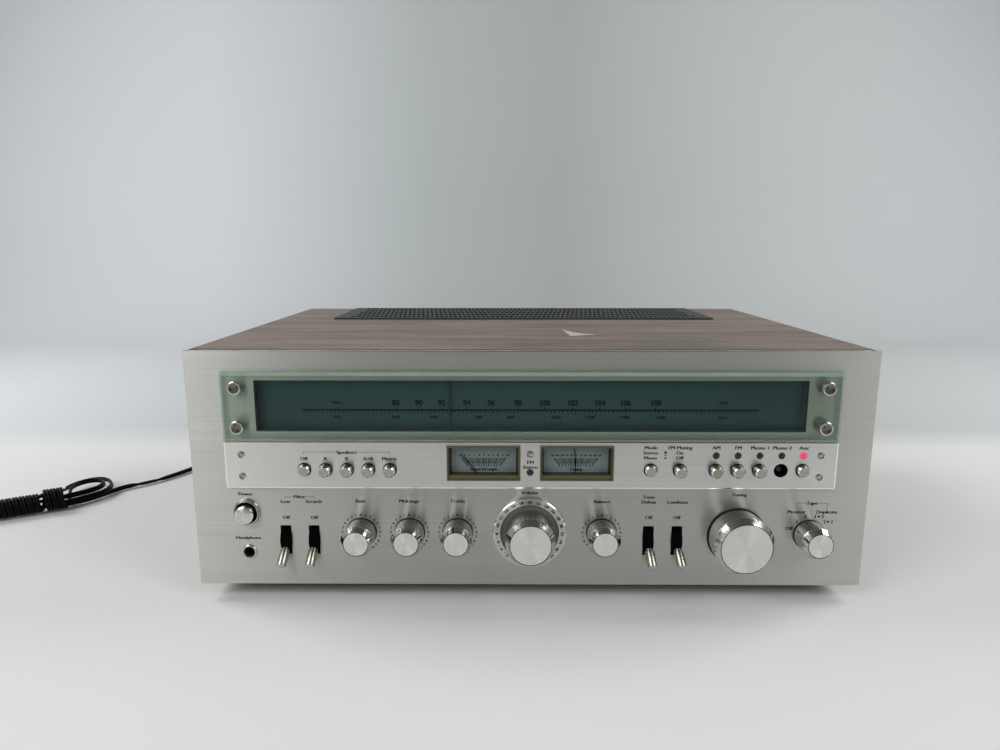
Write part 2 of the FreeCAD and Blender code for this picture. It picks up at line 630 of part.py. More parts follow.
def button_switches():
    """Three interlocked switch banks and the power switch, behind the front wall."""
    groups = {}
    for name, x, out in button_places():
        group = name.split("_")[0]
        if group == "muting":
            group = "mode"
        groups.setdefault(group, []).append(x)
    half = SWITCH_BANK_HEIGHT / 2
    depth = (FRONT_WALL_BACK, SWITCH_BANK_END)
    banks = []
    for places in groups.values():
        across = (min(places) - SWITCH_BANK_MARGIN, max(places) + SWITCH_BANK_MARGIN)
        bank = box(across, depth, (BUTTON_ROW - half, BUTTON_ROW + half))
        bores = [rod(x, BUTTON_ROW, STEM_RADIUS + SLIDING_GAP, depth[0] - 1, depth[1] + 1) for x in places]
        banks.append(bank.cut(bores))
    wide = SWITCH_BANK_MARGIN + 3
    body = box((POWER_X - wide, POWER_X + wide), (FRONT_WALL_BACK, SWITCH_BANK_END + 14),
               (POWER_ROW - wide, POWER_ROW + wide))
    bore = rod(POWER_X, POWER_ROW, STEM_RADIUS + SLIDING_GAP, 0, SWITCH_BANK_END + 2)
    banks.append(body.cut(bore))
    return banks


def headphone_jack():
    """The socket: its collar stands on the panel and its body passes through the front wall."""
    collar = rod(JACK_X, JACK_ROW, JACK_RADIUS, -JACK_PROUD, 0)
    barrel = rod(JACK_X, JACK_ROW, JACK_RADIUS - JACK_PROUD, 0, JACK_LENGTH)
    bore = rod(JACK_X, JACK_ROW, JACK_BORE, -JACK_PROUD - 1, JACK_BORE_LENGTH - JACK_PROUD)
    return [joined([collar, barrel]).cut(bore)]


# ------------------------------------------------------------------ meters
def meter_cases():
    cases = []
    for side in (-1, 1):
        x = side * METER_X
        front = SLIDING_GAP
        inner = METER_CASE_HALF - METER_CASE_WALL
        back = front + METER_CAVITY
        body = box((x - METER_CASE_HALF, x + METER_CASE_HALF), (front, METER_CASE_DEPTH),
                   (METER_CASE_BOTTOM, METER_CASE_TOP))
        cavity = box((x - inner, x + inner), (front - 1, back),
                     (METER_CASE_BOTTOM + METER_CASE_WALL, METER_CASE_TOP - METER_CASE_WALL))
        pin = rod(x, NEEDLE_PIVOT_HEIGHT, NEEDLE_PIN_RADIUS, front + 0.5, back)
        cases.append(joined([body.cut(cavity), pin]))
    return cases


def needle(x, angle):
    """A needle on its hub, turned from upright by the angle; positive leans to the right."""
    middle = SLIDING_GAP + METER_CAVITY / 2
    hub = rod(x, NEEDLE_PIVOT_HEIGHT, NEEDLE_HUB_RADIUS, middle - 0.8, middle + 0.8)
    half = NEEDLE_WIDTH / 2
    blade = box((x - half, x + half), (middle - NEEDLE_THICKNESS / 2, middle + NEEDLE_THICKNESS / 2),
                (NEEDLE_PIVOT_HEIGHT, NEEDLE_PIVOT_HEIGHT + NEEDLE_LENGTH))
    blade.rotate(FreeCAD.Vector(x, 0, NEEDLE_PIVOT_HEIGHT), REARWARD, angle)
    bore = rod(x, NEEDLE_PIVOT_HEIGHT, NEEDLE_PIN_RADIUS + RUNNING_GAP, middle - 2, middle + 2)
    return joined([hub, blade]).cut(bore)


# ------------------------------------------------------------------ chassis
def chassis_tray():
    """Folded steel: floor, front wall that carries the controls, and two low side walls."""
    rear = REAR_PANEL_DEPTH
    floor = box((-CHASSIS_HALF, CHASSIS_HALF), (PANEL_THICKNESS, rear), (0, SHEET))
    front = box((-CHASSIS_HALF, CHASSIS_HALF), (FRONT_WALL_DEPTH, FRONT_WALL_BACK), (0, FRONT_WALL_TOP))
    sides = [box((min(x, x - side * SHEET), max(x, x - side * SHEET)),
                 (PANEL_THICKNESS, rear), (0, SIDE_WALL_HEIGHT))
             for side, x in ((-1, -CHASSIS_HALF), (1, CHASSIS_HALF))]
    tray = joined([floor, front] + sides)
    through = (FRONT_WALL_DEPTH - 1, FRONT_WALL_BACK + 1)
    cuts = []
    for name, x, out in button_places():
        cuts.append(rod(x, BUTTON_ROW, STEM_RADIUS + 2 * SLIDING_GAP, *through))
    cuts.append(rod(POWER_X, POWER_ROW, STEM_RADIUS + 2 * SLIDING_GAP, *through))
    cuts.append(rod(JACK_X, JACK_ROW, JACK_RADIUS - JACK_PROUD + SCREW_GAP, *through))
    cuts.append(rod(TUNING_X, TUNING_ROW, BUSH_RADIUS + SCREW_GAP, *through))
    for x, height, size, radius in KNOBS.values():
        cuts.append(rod(x, height, BUSH_RADIUS + SCREW_GAP, *through))
    for x in LEVER_X:
        half = LEVER_CASE_WIDTH / 2 + SLIDING_GAP
        rise = LEVER_SLOT_HEIGHT / 2 + 1.5 + SLIDING_GAP
        cuts.append(box((x - half, x + half), through, (LEVER_ROW - rise, LEVER_ROW + rise)))
    for side in (-1, 1):
        half = METER_CASE_HALF + SLIDING_GAP
        cuts.append(box((side * METER_X - half, side * METER_X + half), through,
                        (METER_CASE_BOTTOM - SLIDING_GAP, METER_CASE_TOP + SLIDING_GAP)))
        for depth in side_screw_depths():
            reach = sorted((side * (CHASSIS_HALF + 1), side * (CHASSIS_HALF - SHEET - 1)))
            cuts.append(cross_rod(reach[0], reach[1], depth, SIDE_SCREW_HEIGHT, SIDE_SCREW_RADIUS + SCREW_GAP))
    for column in range(-4, 5):
        x = column * 40.0
        cuts.append(box((x - 2.5, x + 2.5), (110, 110 + 50), (-1, SHEET + 1)))
    return [tray.cut(cuts)]


def side_screw_depths():
    return (CABINET_FRONT + SIDE_SCREW_INSET, CABINET_REAR - SIDE_SCREW_INSET)


def feet():
    pieces = []
    for side in (-1, 1):
        for depth in (CABINET_FRONT + FOOT_INSET, REAR_PANEL_DEPTH - FOOT_INSET):
            x = side * (CHASSIS_HALF - FOOT_INSET)
            base = FreeCAD.Vector(x, depth, -FOOT_HEIGHT)
            cone = Part.makeCone(FOOT_RADIUS - 2, FOOT_RADIUS, FOOT_HEIGHT, base, UP)
            pieces.append(cone)
    return pieces


def rear_panel():
    panel = box((-CHASSIS_HALF, CHASSIS_HALF), (REAR_PANEL_DEPTH, REAR_FACE), (0, REAR_PANEL_TOP))
    through = (REAR_PANEL_DEPTH - 1, REAR_FACE + 1)
    cuts = [rod(x, height, PHONO_RADIUS + SCREW_GAP, *through) for x, height in phono_places()]
    cuts += [rod(x, height, POST_RADIUS - 2 + SCREW_GAP, *through) for x, height in post_places()]
    cuts += [rod(x, height, 2.0 + SCREW_GAP, *through) for x, height in aerial_places()]
    cuts.append(rod(CORD_EXIT_X, CORD_EXIT_HEIGHT, RELIEF_ROOT_RADIUS - 1 + SCREW_GAP, *through))
    half = OUTLET_SIZE[0] / 2 - 2
    rise = OUTLET_SIZE[1] / 2 - 2
    cuts.append(box((OUTLET_X - half, OUTLET_X + half), through, (OUTLET_HEIGHT - rise, OUTLET_HEIGHT + rise)))
    for column in range(-5, 6):
        x = HEATSINK_X + column * 14.0
        cuts.append(box((x - 2.0, x + 2.0), through, (70.0, 92.0)))
    return [panel.cut(cuts)]


def cabinet():
    """Top and two sides of veneered board in one wrap, open below, with the grille's opening."""
    outer = box((-CABINET_HALF, CABINET_HALF), (CABINET_FRONT, CABINET_REAR), (0, CABINET_TOP))
    inner = box((-CABINET_INSIDE, CABINET_INSIDE), (CABINET_FRONT - 1, CABINET_REAR + 1),
                (-1, CABINET_TOP - BOARD))
    opening = box((GRILLE_LIP - GRILLE_HALF, GRILLE_HALF - GRILLE_LIP),
                  (GRILLE_FRONT + GRILLE_LIP, GRILLE_FRONT + GRILLE_DEPTH - GRILLE_LIP),
                  (CABINET_TOP - BOARD - 1, CABINET_TOP + 1))
    holes = []
    for side in (-1, 1):
        for depth in side_screw_depths():
            reach = sorted((side * (CABINET_HALF + 1), side * (CABINET_INSIDE - 1)))
            holes.append(cross_rod(reach[0], reach[1], depth, SIDE_SCREW_HEIGHT, SIDE_SCREW_RADIUS + SCREW_GAP))
    return [outer.cut([inner, opening] + holes)]


def cabinet_screws():
    screws = []
    for side in (-1, 1):
        for depth in side_screw_depths():
            head = sorted((side * CABINET_HALF, side * (CABINET_HALF + SIDE_SCREW_HEAD)))
            shank = sorted((side * CABINET_HALF, side * (CHASSIS_HALF - 3 * SHEET)))
            screws.append(joined([
                cross_rod(head[0], head[1], depth, SIDE_SCREW_HEIGHT, SIDE_SCREW_HEAD_RADIUS),
                cross_rod(shank[0], shank[1], depth, SIDE_SCREW_HEIGHT, SIDE_SCREW_RADIUS)]))
    return screws


def slot_wire(x, depth, height):
    """The outline of one round-ended slot that runs along the depth."""
    radius = GRILLE_SLOT_WIDTH / 2
    reach = GRILLE_SLOT_LENGTH / 2 - radius
    near = depth - reach
    far = depth + reach
    corner = [FreeCAD.Vector(x + dx, y, height) for dx, y in
              ((-radius, near), (-radius, far), (radius, far), (radius, near))]
    back = Part.Arc(corner[1], FreeCAD.Vector(x, far + radius, height), corner[2])
    front = Part.Arc(corner[3], FreeCAD.Vector(x, near - radius, height), corner[0])
    sides = [Part.LineSegment(corner[0], corner[1]), Part.LineSegment(corner[2], corner[3])]
    return Part.Wire([sides[0].toShape(), back.toShape(), sides[1].toShape(), front.toShape()])


def top_grille():
    """A steel plate with rows of slots, and a skirt that drops into the cabinet's opening."""
    rear = GRILLE_FRONT + GRILLE_DEPTH
    corners = [FreeCAD.Vector(x, y, CABINET_TOP) for x, y in
               ((-GRILLE_HALF, GRILLE_FRONT), (GRILLE_HALF, GRILLE_FRONT),
                (GRILLE_HALF, rear), (-GRILLE_HALF, rear))]
    outline = Part.makePolygon(corners + corners[:1])
    columns = int((GRILLE_WIDTH - 2 * GRILLE_PLAIN_END) / GRILLE_SLOT_PITCH)
    row_pitch = (GRILLE_DEPTH - 2 * GRILLE_PLAIN_EDGE) / GRILLE_ROWS
    slots = []
    for row in range(GRILLE_ROWS):
        depth = GRILLE_FRONT + GRILLE_PLAIN_EDGE + (row + 0.5) * row_pitch
        shift = GRILLE_SLOT_PITCH / 2 * (row % 2)
        for column in range(columns - row % 2):
            x = (column - (columns - 1) / 2) * GRILLE_SLOT_PITCH + shift
            slots.append(slot_wire(x, depth, CABINET_TOP))
    plate = Part.Face([outline] + slots).extrude(FreeCAD.Vector(0, 0, GRILLE_PROUD))
    lip = GRILLE_LIP + SLIDING_GAP
    inset = lip + GRILLE_PROUD
    outer = box((lip - GRILLE_HALF, GRILLE_HALF - lip), (GRILLE_FRONT + lip, rear - lip),
                (CABINET_TOP - GRILLE_SKIRT, CABINET_TOP))
    inner = box((inset - GRILLE_HALF, GRILLE_HALF - inset), (GRILLE_FRONT + inset, rear - inset),
                (CABINET_TOP - GRILLE_SKIRT - 1, CABINET_TOP + 1))
    return [joined([plate, outer.cut(inner)])]


# ------------------------------------------------------------------ dial drive
def dial_plate():
    """The scale plate behind the window, with blocks that hold it off the front wall."""
    half = WINDOW_HALF + DIAL_PLATE_OVERLAP
    back = DIAL_PLATE_DEPTH + DIAL_PLATE_THICKNESS
    plate = box((-half, half), (DIAL_PLATE_DEPTH, back),
                (WINDOW_BOTTOM - DIAL_PLATE_OVERLAP, WINDOW_TOP + DIAL_PLATE_OVERLAP))
    blocks = [box((side * (half - 4) - 3, side * (half - 4) + 3), (back, FRONT_WALL_DEPTH),
                  (GLASS_MIDDLE - 12, GLASS_MIDDLE + 12)) for side in (-1, 0, 1)]
    return [joined([plate] + blocks)]


def dial_pointer():
    """The pointer hangs over the front wall from a carriage that slides on the rail."""
    x = POINTER_REST_X
    half = POINTER_WIDTH / 2
    size = CARRIAGE_SIZE / 2
    arm_bottom = FRONT_WALL_TOP + 1.5
    arm_top = arm_bottom + 1.2
    blade = box((x - half, x + half), (POINTER_DEPTH, POINTER_DEPTH + POINTER_THICKNESS),
                (WINDOW_BOTTOM + 1, arm_top))
    arm = box((x - half, x + half), (POINTER_DEPTH, RAIL_DEPTH + size), (arm_bottom, arm_top))
    stem = box((x - half, x + half), (RAIL_DEPTH - size, RAIL_DEPTH + size), (RAIL_HEIGHT, arm_top))
    block = box((x - 6, x + 6), (RAIL_DEPTH - size, RAIL_DEPTH + size),
                (RAIL_HEIGHT - size, RAIL_HEIGHT + size))
    bore = cross_rod(x - 7, x + 7, RAIL_DEPTH, RAIL_HEIGHT, RAIL_RADIUS + RUNNING_GAP)
    return joined([blade, arm, stem, block]).cut(bore)


def belt_wire(circles, offset, depth):
    """The outline of a loop pulled tight round circles (x, height, radius), given clockwise."""
    tangents = []
    count = len(circles)
    for index in range(count):
        x1, z1, r1 = circles[index]
        x2, z2, r2 = circles[(index + 1) % count]
        r1 += offset
        r2 += offset
        run = math.hypot(x2 - x1, z2 - z1)
        heading = math.atan2(z2 - z1, x2 - x1)
        normal = heading + math.pi / 2 + math.asin((r2 - r1) / run)
        tangents.append([FreeCAD.Vector(x + r * math.cos(normal), depth, z + r * math.sin(normal))
                         for x, z, r in ((x1, z1, r1), (x2, z2, r2))] + [normal])
    edges = []
    for index in range(count):
        start, end, normal = tangents[index]
        next_start, next_end, next_normal = tangents[(index + 1) % count]
        x, z, r = circles[(index + 1) % count]
        turn = (normal - next_normal) % (2 * math.pi)
        middle = normal - turn / 2
        bend = FreeCAD.Vector(x + (r + offset) * math.cos(middle), depth, z + (r + offset) * math.sin(middle))
        edges.append(Part.LineSegment(start, end).toShape())
        edges.append(Part.Arc(end, bend, next_start).toShape())
    return Part.Wire(edges)


def dial_drive():
    """The pointer's rail, the cord's guide posts, and the string loop that ties them to the drum."""
    brackets = []
    for side in (-1, 1):
        inner = sorted((side * RAIL_HALF_LENGTH, side * (RAIL_HALF_LENGTH + 2)))
        brackets.append(box(inner, (FRONT_WALL_BACK, RAIL_DEPTH + 4), (RAIL_HEIGHT - 6, RAIL_HEIGHT + 4)))
    rail = cross_rod(-RAIL_HALF_LENGTH, RAIL_HALF_LENGTH, RAIL_DEPTH, RAIL_HEIGHT, RAIL_RADIUS)
    posts = [rod(side * GUIDE_POST_X, GUIDE_POST_HEIGHT, GUIDE_POST_RADIUS,
                 FRONT_WALL_BACK, DIAL_CORD_DEPTH + 3)
             for side in (-1, 1)]
    circles = [(-GUIDE_POST_X, GUIDE_POST_HEIGHT, GUIDE_POST_RADIUS),
               (GUIDE_POST_X, GUIDE_POST_HEIGHT, GUIDE_POST_RADIUS),
               (TUNING_X, TUNING_ROW, TUNING_SLEEVE_RADIUS), (DRUM_X, DRUM_HEIGHT, DRUM_RADIUS)]
    start = DIAL_CORD_DEPTH - DIAL_CORD_THICKNESS / 2
    inner = belt_wire(circles, SLIDING_GAP, start)
    outer = belt_wire(circles, SLIDING_GAP + DIAL_CORD_THICKNESS, start)
    loop = Part.Face([outer, inner]).extrude(FreeCAD.Vector(0, DIAL_CORD_THICKNESS, 0))
    return [joined([rail] + brackets)] + posts + [loop]


def tuning_knob():
    """Knob, shaft, flywheel and cord sleeve, which turn together."""
    turning = knob(TUNING_X, TUNING_ROW, TUNING_KNOB, DIAL_CORD_DEPTH + 4)
    wheel = rod(TUNING_X, TUNING_ROW, FLYWHEEL_RADIUS, FLYWHEEL_DEPTH, FLYWHEEL_DEPTH + FLYWHEEL_THICKNESS)
    sleeve = rod(TUNING_X, TUNING_ROW, TUNING_SLEEVE_RADIUS,
                 FLYWHEEL_DEPTH + FLYWHEEL_THICKNESS, DIAL_CORD_DEPTH + 4)
    return joined([turning, wheel, sleeve])


def dial_drum():
    start = DIAL_CORD_DEPTH - DRUM_THICKNESS / 2
    wheel = rod(DRUM_X, DRUM_HEIGHT, DRUM_RADIUS, start, start + DRUM_THICKNESS)
    windows = []
    for turn in (90, 210, 330):
        hole = rod(DRUM_X + 20 * math.cos(math.radians(turn)), DRUM_HEIGHT + 20 * math.sin(math.radians(turn)),
                   8.0, start - 1, start + DRUM_THICKNESS + 1)
        windows.append(hole)
    shaft = rod(DRUM_X, DRUM_HEIGHT, SHAFT_RADIUS, start, start + 22)
    return joined([wheel.cut(windows), shaft])


def tuning_capacitor():
    """The closed capacitor on its bracket; the drum's shaft enters its front."""
    width, length, tall = CAPACITOR_SIZE
    front = DIAL_CORD_DEPTH + DRUM_THICKNESS / 2 + 4
    bottom = DRUM_HEIGHT - tall / 2
    across = (DRUM_X - width / 2, DRUM_X + width / 2)
    can = box(across, (front, front + length), (bottom, bottom + tall))
    leg = box(across, (front + length - SHEET, front + length), (FLOOR_TOP, bottom))
    bore = rod(DRUM_X, DRUM_HEIGHT, SHAFT_RADIUS + RUNNING_GAP, front - 1, front + 18)
    return [joined([can, leg]).cut(bore)]


# ------------------------------------------------------------------ inside
def circuit_boards():
    """Two boards on their stand-offs, with their larger parts."""
    boards = []
    top = FLOOR_TOP + STANDOFF_HEIGHT
    for across, depth, parts in (
            ((-30.0, CHASSIS_HALF - 15), (CABINET_REAR - 190, CABINET_REAR - 80),
              ((20, 1), (80, 2), (150, 1), (190, 2))),
            ((66.0, CHASSIS_HALF - 15), (44.0, 118.0), ((84, 2), (110, 1), (170, 2)))):
        pieces = [box(across, depth, (top, top + BOARD_THICKNESS))]
        for x in (across[0] + 6, across[1] - 6):
            for y in (depth[0] + 6, depth[1] - 6):
                pieces.append(post(x, y, 3.0, FLOOR_TOP, top + 0.5))
        middle = (depth[0] + depth[1]) / 2
        for x, kind in parts:
            if kind == 1:
                pieces.append(post(x, middle, 7.0, top, top + 26))
            else:
                pieces.append(box((x - 8, x + 8), (middle - 10, middle + 10), (top, top + 14)))
        boards.append(joined(pieces))
    return boards


def power_supply():
    """The laminated transformer with its winding, and two filter capacitors beside it."""
    width, length, tall = TRANSFORMER_CORE
    rear = REAR_PANEL_DEPTH - TRANSFORMER_REAR_GAP
    left = TRANSFORMER_X - width / 2
    core = box((left, left + width), (rear - length, rear), (FLOOR_TOP, FLOOR_TOP + tall))
    inner = 14.0
    windows = [box((left + 14, left + 30), (rear - length - 1, rear + 1),
                   (FLOOR_TOP + inner, FLOOR_TOP + tall - inner)),
               box((left + width - 30, left + width - 14), (rear - length - 1, rear + 1),
                   (FLOOR_TOP + inner, FLOOR_TOP + tall - inner))]
    gap = SLIDING_GAP
    coil = box((left + 14 + gap, left + width - 14 - gap), (rear - length - 12, rear + 12),
               (FLOOR_TOP + inner + gap, FLOOR_TOP + tall - inner - gap))
    leg = box((left + 30 - gap, left + width - 30 + gap), (rear - length - gap, rear + gap),
              (FLOOR_TOP + inner - 1, FLOOR_TOP + tall - inner + 1))
    cans = [post(CAN_X, rear - offset, CAN_RADIUS, FLOOR_TOP, FLOOR_TOP + CAN_HEIGHT)
            for offset in (CAN_RADIUS, 3 * CAN_RADIUS + 4)]
    return [core.cut(windows), coil.cut(leg)] + cans


def heatsink():
    """Finned aluminium along the rear, with the output transistors on its front face."""
    width, length, tall = HEATSINK_SIZE
    rear = REAR_PANEL_DEPTH - HEATSINK_REAR_GAP
    left = HEATSINK_X - width / 2
    base = 6.0
    front = rear - length
    pieces = [box((left, left + width), (front, front + base), (FLOOR_TOP, FLOOR_TOP + tall))]
    pitch = (width - FIN_THICKNESS) / (FIN_COUNT - 1)
    for fin in range(FIN_COUNT):
        x = left + fin * pitch
        pieces.append(box((x, x + FIN_THICKNESS), (front + base - 1, rear), (FLOOR_TOP, FLOOR_TOP + tall)))
    solids = [joined(pieces)]
    for number in range(TRANSISTOR_COUNT):
        x = left + width * (number + 0.5) / TRANSISTOR_COUNT
        solids.append(rod(x, FLOOR_TOP + tall / 2, 11.0, front - 8, front))
    return solids


# ------------------------------------------------------------------ rear
def phono_places():
    return [(PHONO_X + column * PHONO_PITCH, PHONO_HEIGHT + row * PHONO_PITCH)
            for column in range(PHONO_COLUMNS) for row in (-0.5, 0.5)]


def post_places():
    return [(POST_X + column * POST_PITCH, POST_HEIGHT + row * POST_PITCH)
            for column in range(5) for row in (-0.5, 0.5)]


def aerial_places():
    return [(AERIAL_X + column * AERIAL_PITCH, AERIAL_HEIGHT) for column in range(5)]


def phono_jacks():
    """Sockets for signal leads, two rows on the rear panel."""
    jacks = []
    for x, height in phono_places():
        end = REAR_FACE + PHONO_COLLAR + PHONO_LENGTH
        shell = rod(x, height, PHONO_RADIUS, REAR_PANEL_DEPTH - 3, end)
        collar = rod(x, height, PHONO_COLLAR_RADIUS, REAR_FACE, REAR_FACE + PHONO_COLLAR)
        jacks.append(joined([shell, collar]).cut(rod(x, height, PHONO_BORE, REAR_FACE, end + 1)))
    return jacks


def speaker_terminals():
    """Binding posts for the loudspeakers, and the aerial's screw terminals."""
    terminals = []
    for x, height in post_places():
        cap = rod(x, height, POST_RADIUS, REAR_FACE, REAR_FACE + POST_LENGTH)
        tail = rod(x, height, POST_RADIUS - 2, REAR_PANEL_DEPTH - 4, REAR_FACE)
        terminals.append(joined([cap, tail]))
    for x, height in aerial_places():
        cap = rod(x, height, 4.0, REAR_FACE, REAR_FACE + 5)
        tail = rod(x, height, 2.0, REAR_PANEL_DEPTH - 4, REAR_FACE)
        terminals.append(joined([cap, tail]))
    return terminals


def mains_outlets():
    """Two switched outlets in one moulding."""
    half = OUTLET_SIZE[0] / 2
    rise = OUTLET_SIZE[1] / 2
    flange = box((OUTLET_X - half, OUTLET_X + half), (REAR_FACE, REAR_FACE + 4),
                 (OUTLET_HEIGHT - rise, OUTLET_HEIGHT + rise))
    body = box((OUTLET_X - half + 2.2, OUTLET_X + half - 2.2), (REAR_PANEL_DEPTH - 20, REAR_FACE),
               (OUTLET_HEIGHT - rise + 2.2, OUTLET_HEIGHT + rise - 2.2))
    slots = []
    for x in (OUTLET_X - 9, OUTLET_X + 9):
        for step in (-4.0, 4.0):
            slots.append(box((x - 3.2, x + 3.2), (REAR_FACE - 12, REAR_FACE + 5),
                             (OUTLET_HEIGHT + step - 0.9, OUTLET_HEIGHT + step + 0.9)))
    return [joined([flange, body]).cut(slots)]


def antenna_bracket():
    """Two ears on the rear panel with the rod antenna's hinge pin between them."""
    depth = antenna_depth()
    half = ANTENNA_RADIUS
    tall = ANTENNA_RADIUS + 0.6
    ears = []
    for side in (-1, 1):
        base = ANTENNA_HEIGHT + side * tall
        ears.append(box((ANTENNA_PIVOT_X - half, ANTENNA_PIVOT_X + half),
                        (REAR_FACE, depth + ANTENNA_PIN_RADIUS + 1.5),
                        tuple(sorted((base, base + side * 2.0)))))
    pin = post(ANTENNA_PIVOT_X, depth, ANTENNA_PIN_RADIUS, ANTENNA_HEIGHT - tall, ANTENNA_HEIGHT + tall)
    return [joined(ears + [pin])]


def antenna_depth():
    return CABINET_REAR + REAR_REACH - ANTENNA_RADIUS


def rod_antenna():
    """A ferrite rod that lies along the rear panel and swings out."""
    depth = antenna_depth()
    knuckle = post(ANTENNA_PIVOT_X, depth, ANTENNA_RADIUS,
                   ANTENNA_HEIGHT - ANTENNA_RADIUS, ANTENNA_HEIGHT + ANTENNA_RADIUS)
    shank = cross_rod(ANTENNA_PIVOT_X, ANTENNA_PIVOT_X + ANTENNA_LENGTH,
                      depth, ANTENNA_HEIGHT, ANTENNA_RADIUS - 0.5)
    bore = post(ANTENNA_PIVOT_X, depth, ANTENNA_PIN_RADIUS + RUNNING_GAP,
                ANTENNA_HEIGHT - 10, ANTENNA_HEIGHT + 10)
    return joined([knuckle, shank]).cut(bore)


# ------------------------------------------------------------------ cord
def strain_relief():
    """Moulded gland: a plug in the rear panel and a tapered sleeve round the cord."""
    start = REAR_FACE + 2.5
    inside = rod(CORD_EXIT_X, CORD_EXIT_HEIGHT, RELIEF_ROOT_RADIUS - 1, REAR_PANEL_DEPTH - 5, REAR_FACE)
    flange = rod(CORD_EXIT_X, CORD_EXIT_HEIGHT, RELIEF_ROOT_RADIUS + 1, REAR_FACE, start)
    taper = Part.makeCone(RELIEF_ROOT_RADIUS - 1, RELIEF_TIP_RADIUS, relief_end() - start,
                          FreeCAD.Vector(CORD_EXIT_X, start, CORD_EXIT_HEIGHT), REARWARD)
    return [joined([inside, flange, taper])]


def relief_end():
    return CABINET_REAR + REAR_REACH


def cord_path():
    """The free stretch: straight runs joined by tangent arcs, in the object's own frame."""
    exit_point = FreeCAD.Vector(CORD_EXIT_X, relief_end(), CORD_EXIT_HEIGHT) + SHIFT
    points = [exit_point] + [FreeCAD.Vector(*point) for point in CORD_ROUTE]
    edges = []
    radii = []
    here = points[0]
    for before, corner, after in zip(points, points[1:], points[2:]):
        back = (before - corner).normalize()
        ahead = (after - corner).normalize()
        turn = math.pi - back.getAngle(ahead)
        shorter = min((before - corner).Length, (after - corner).Length)
        tangent = CORD_ARC_SHARE * shorter
        radius = tangent / math.tan(turn / 2)
        radii.append(radius)
        start = corner + back * tangent
        end = corner + ahead * tangent
        inward = (back + ahead).normalize()
        middle = corner + inward * (radius / math.cos(turn / 2) - radius)
        edges.append(Part.LineSegment(here, start).toShape())
        edges.append(Part.Arc(start, middle, end).toShape())
        here = end
    edges.append(Part.LineSegment(here, points[-1]).toShape())
    return Part.Wire(edges), points, radii


def power_cord():
    path, points, radii = cord_path()
    along = points[1] - points[0]
    section = Part.Wire(Part.Circle(points[0], along, CORD_DIAMETER / 2).toShape())
    tube = path.makePipeShell([section], True, False)
    area = math.pi * (CORD_DIAMETER / 2) ** 2
    print("cord radii", [round(radius) for radius in radii])
    ratio = tube.Volume / (area * path.Length)
    print("cord length %.0f, tube volume / (section x length) %.4f" % (path.Length, ratio))
    return [tube]


def hank_frame():
    """Direction along the hank and across it, level."""
    along = FreeCAD.Vector(HANK_DIRECTION[0], HANK_DIRECTION[1], 0).normalize()
    return along, FreeCAD.Vector(-along.y, along.x, 0)


def cord_hank():
    """Outer shape of the wrapped hank: a round bundle, and the flat loops at its near end."""
    along, across = hank_frame()
    start = FreeCAD.Vector(HANK_START[0], HANK_START[1], HANK_RADIUS)
    bundle = Part.makeCylinder(HANK_RADIUS, HANK_LENGTH, start, along)
    outline = [FreeCAD.Vector(x, y, 0) for x, y in LOOP_OUTLINE]
    loops = Part.Face(Part.makePolygon(outline + outline[:1])).extrude(UP * LOOP_HEIGHT)
    return [joined([bundle, loops])]


def mains_plug():
    """Flat two-blade plug at the hank's far end."""
    along, across = hank_frame()
    start = FreeCAD.Vector(HANK_START[0], HANK_START[1], 0)
    root = start + along * HANK_LENGTH
    body = Part.makeBox(PLUG_LENGTH, PLUG_WIDTH, PLUG_THICKNESS, FreeCAD.Vector(0, -PLUG_WIDTH / 2, 0))
    pieces = [body]
    for side in (-1, 1):
        width, tall, reach = BLADE_SIZE
        corner = FreeCAD.Vector(PLUG_LENGTH, side * BLADE_SPACING / 2 - width / 2, (PLUG_THICKNESS - tall) / 2)
        pieces.append(Part.makeBox(reach, width, tall, corner))
    plug = joined(pieces)
    plug.rotate(FreeCAD.Vector(0, 0, 0), UP, math.degrees(math.atan2(along.y, along.x)))
    plug.translate(root)
    return [plug]


# ------------------------------------------------------------------ every piece
def static_pieces():
    return {
        "chassis_tray": chassis_tray(), "rear_panel": rear_panel(), "feet": feet(), "cabinet": cabinet(),
        "cabinet_screws": cabinet_screws(), "top_grille": top_grille(), "front_panel": front_panel(),
        "dial_glass": dial_glass(), "front_screws": front_screws(), "dial_plate": dial_plate(),
        "control_strip": control_strip(), "meter_cases": meter_cases(), "front_trim": front_trim(),
        "headphone_jack": headphone_jack(), "indicator_lamps": indicator_lamps(),
        "lever_switches": lever_switches(), "button_switches": button_switches(),
        "rotary_controls": rotary_controls(), "circuit_boards": circuit_boards(),
        "power_supply": power_supply(), "heatsink": heatsink(), "tuning_capacitor": tuning_capacitor(),
        "dial_drive": dial_drive(),
        "phono_jacks": phono_jacks(), "speaker_terminals": speaker_terminals(),
        "mains_outlets": mains_outlets(), "antenna_bracket": antenna_bracket(),
        "strain_relief": strain_relief(),
    }


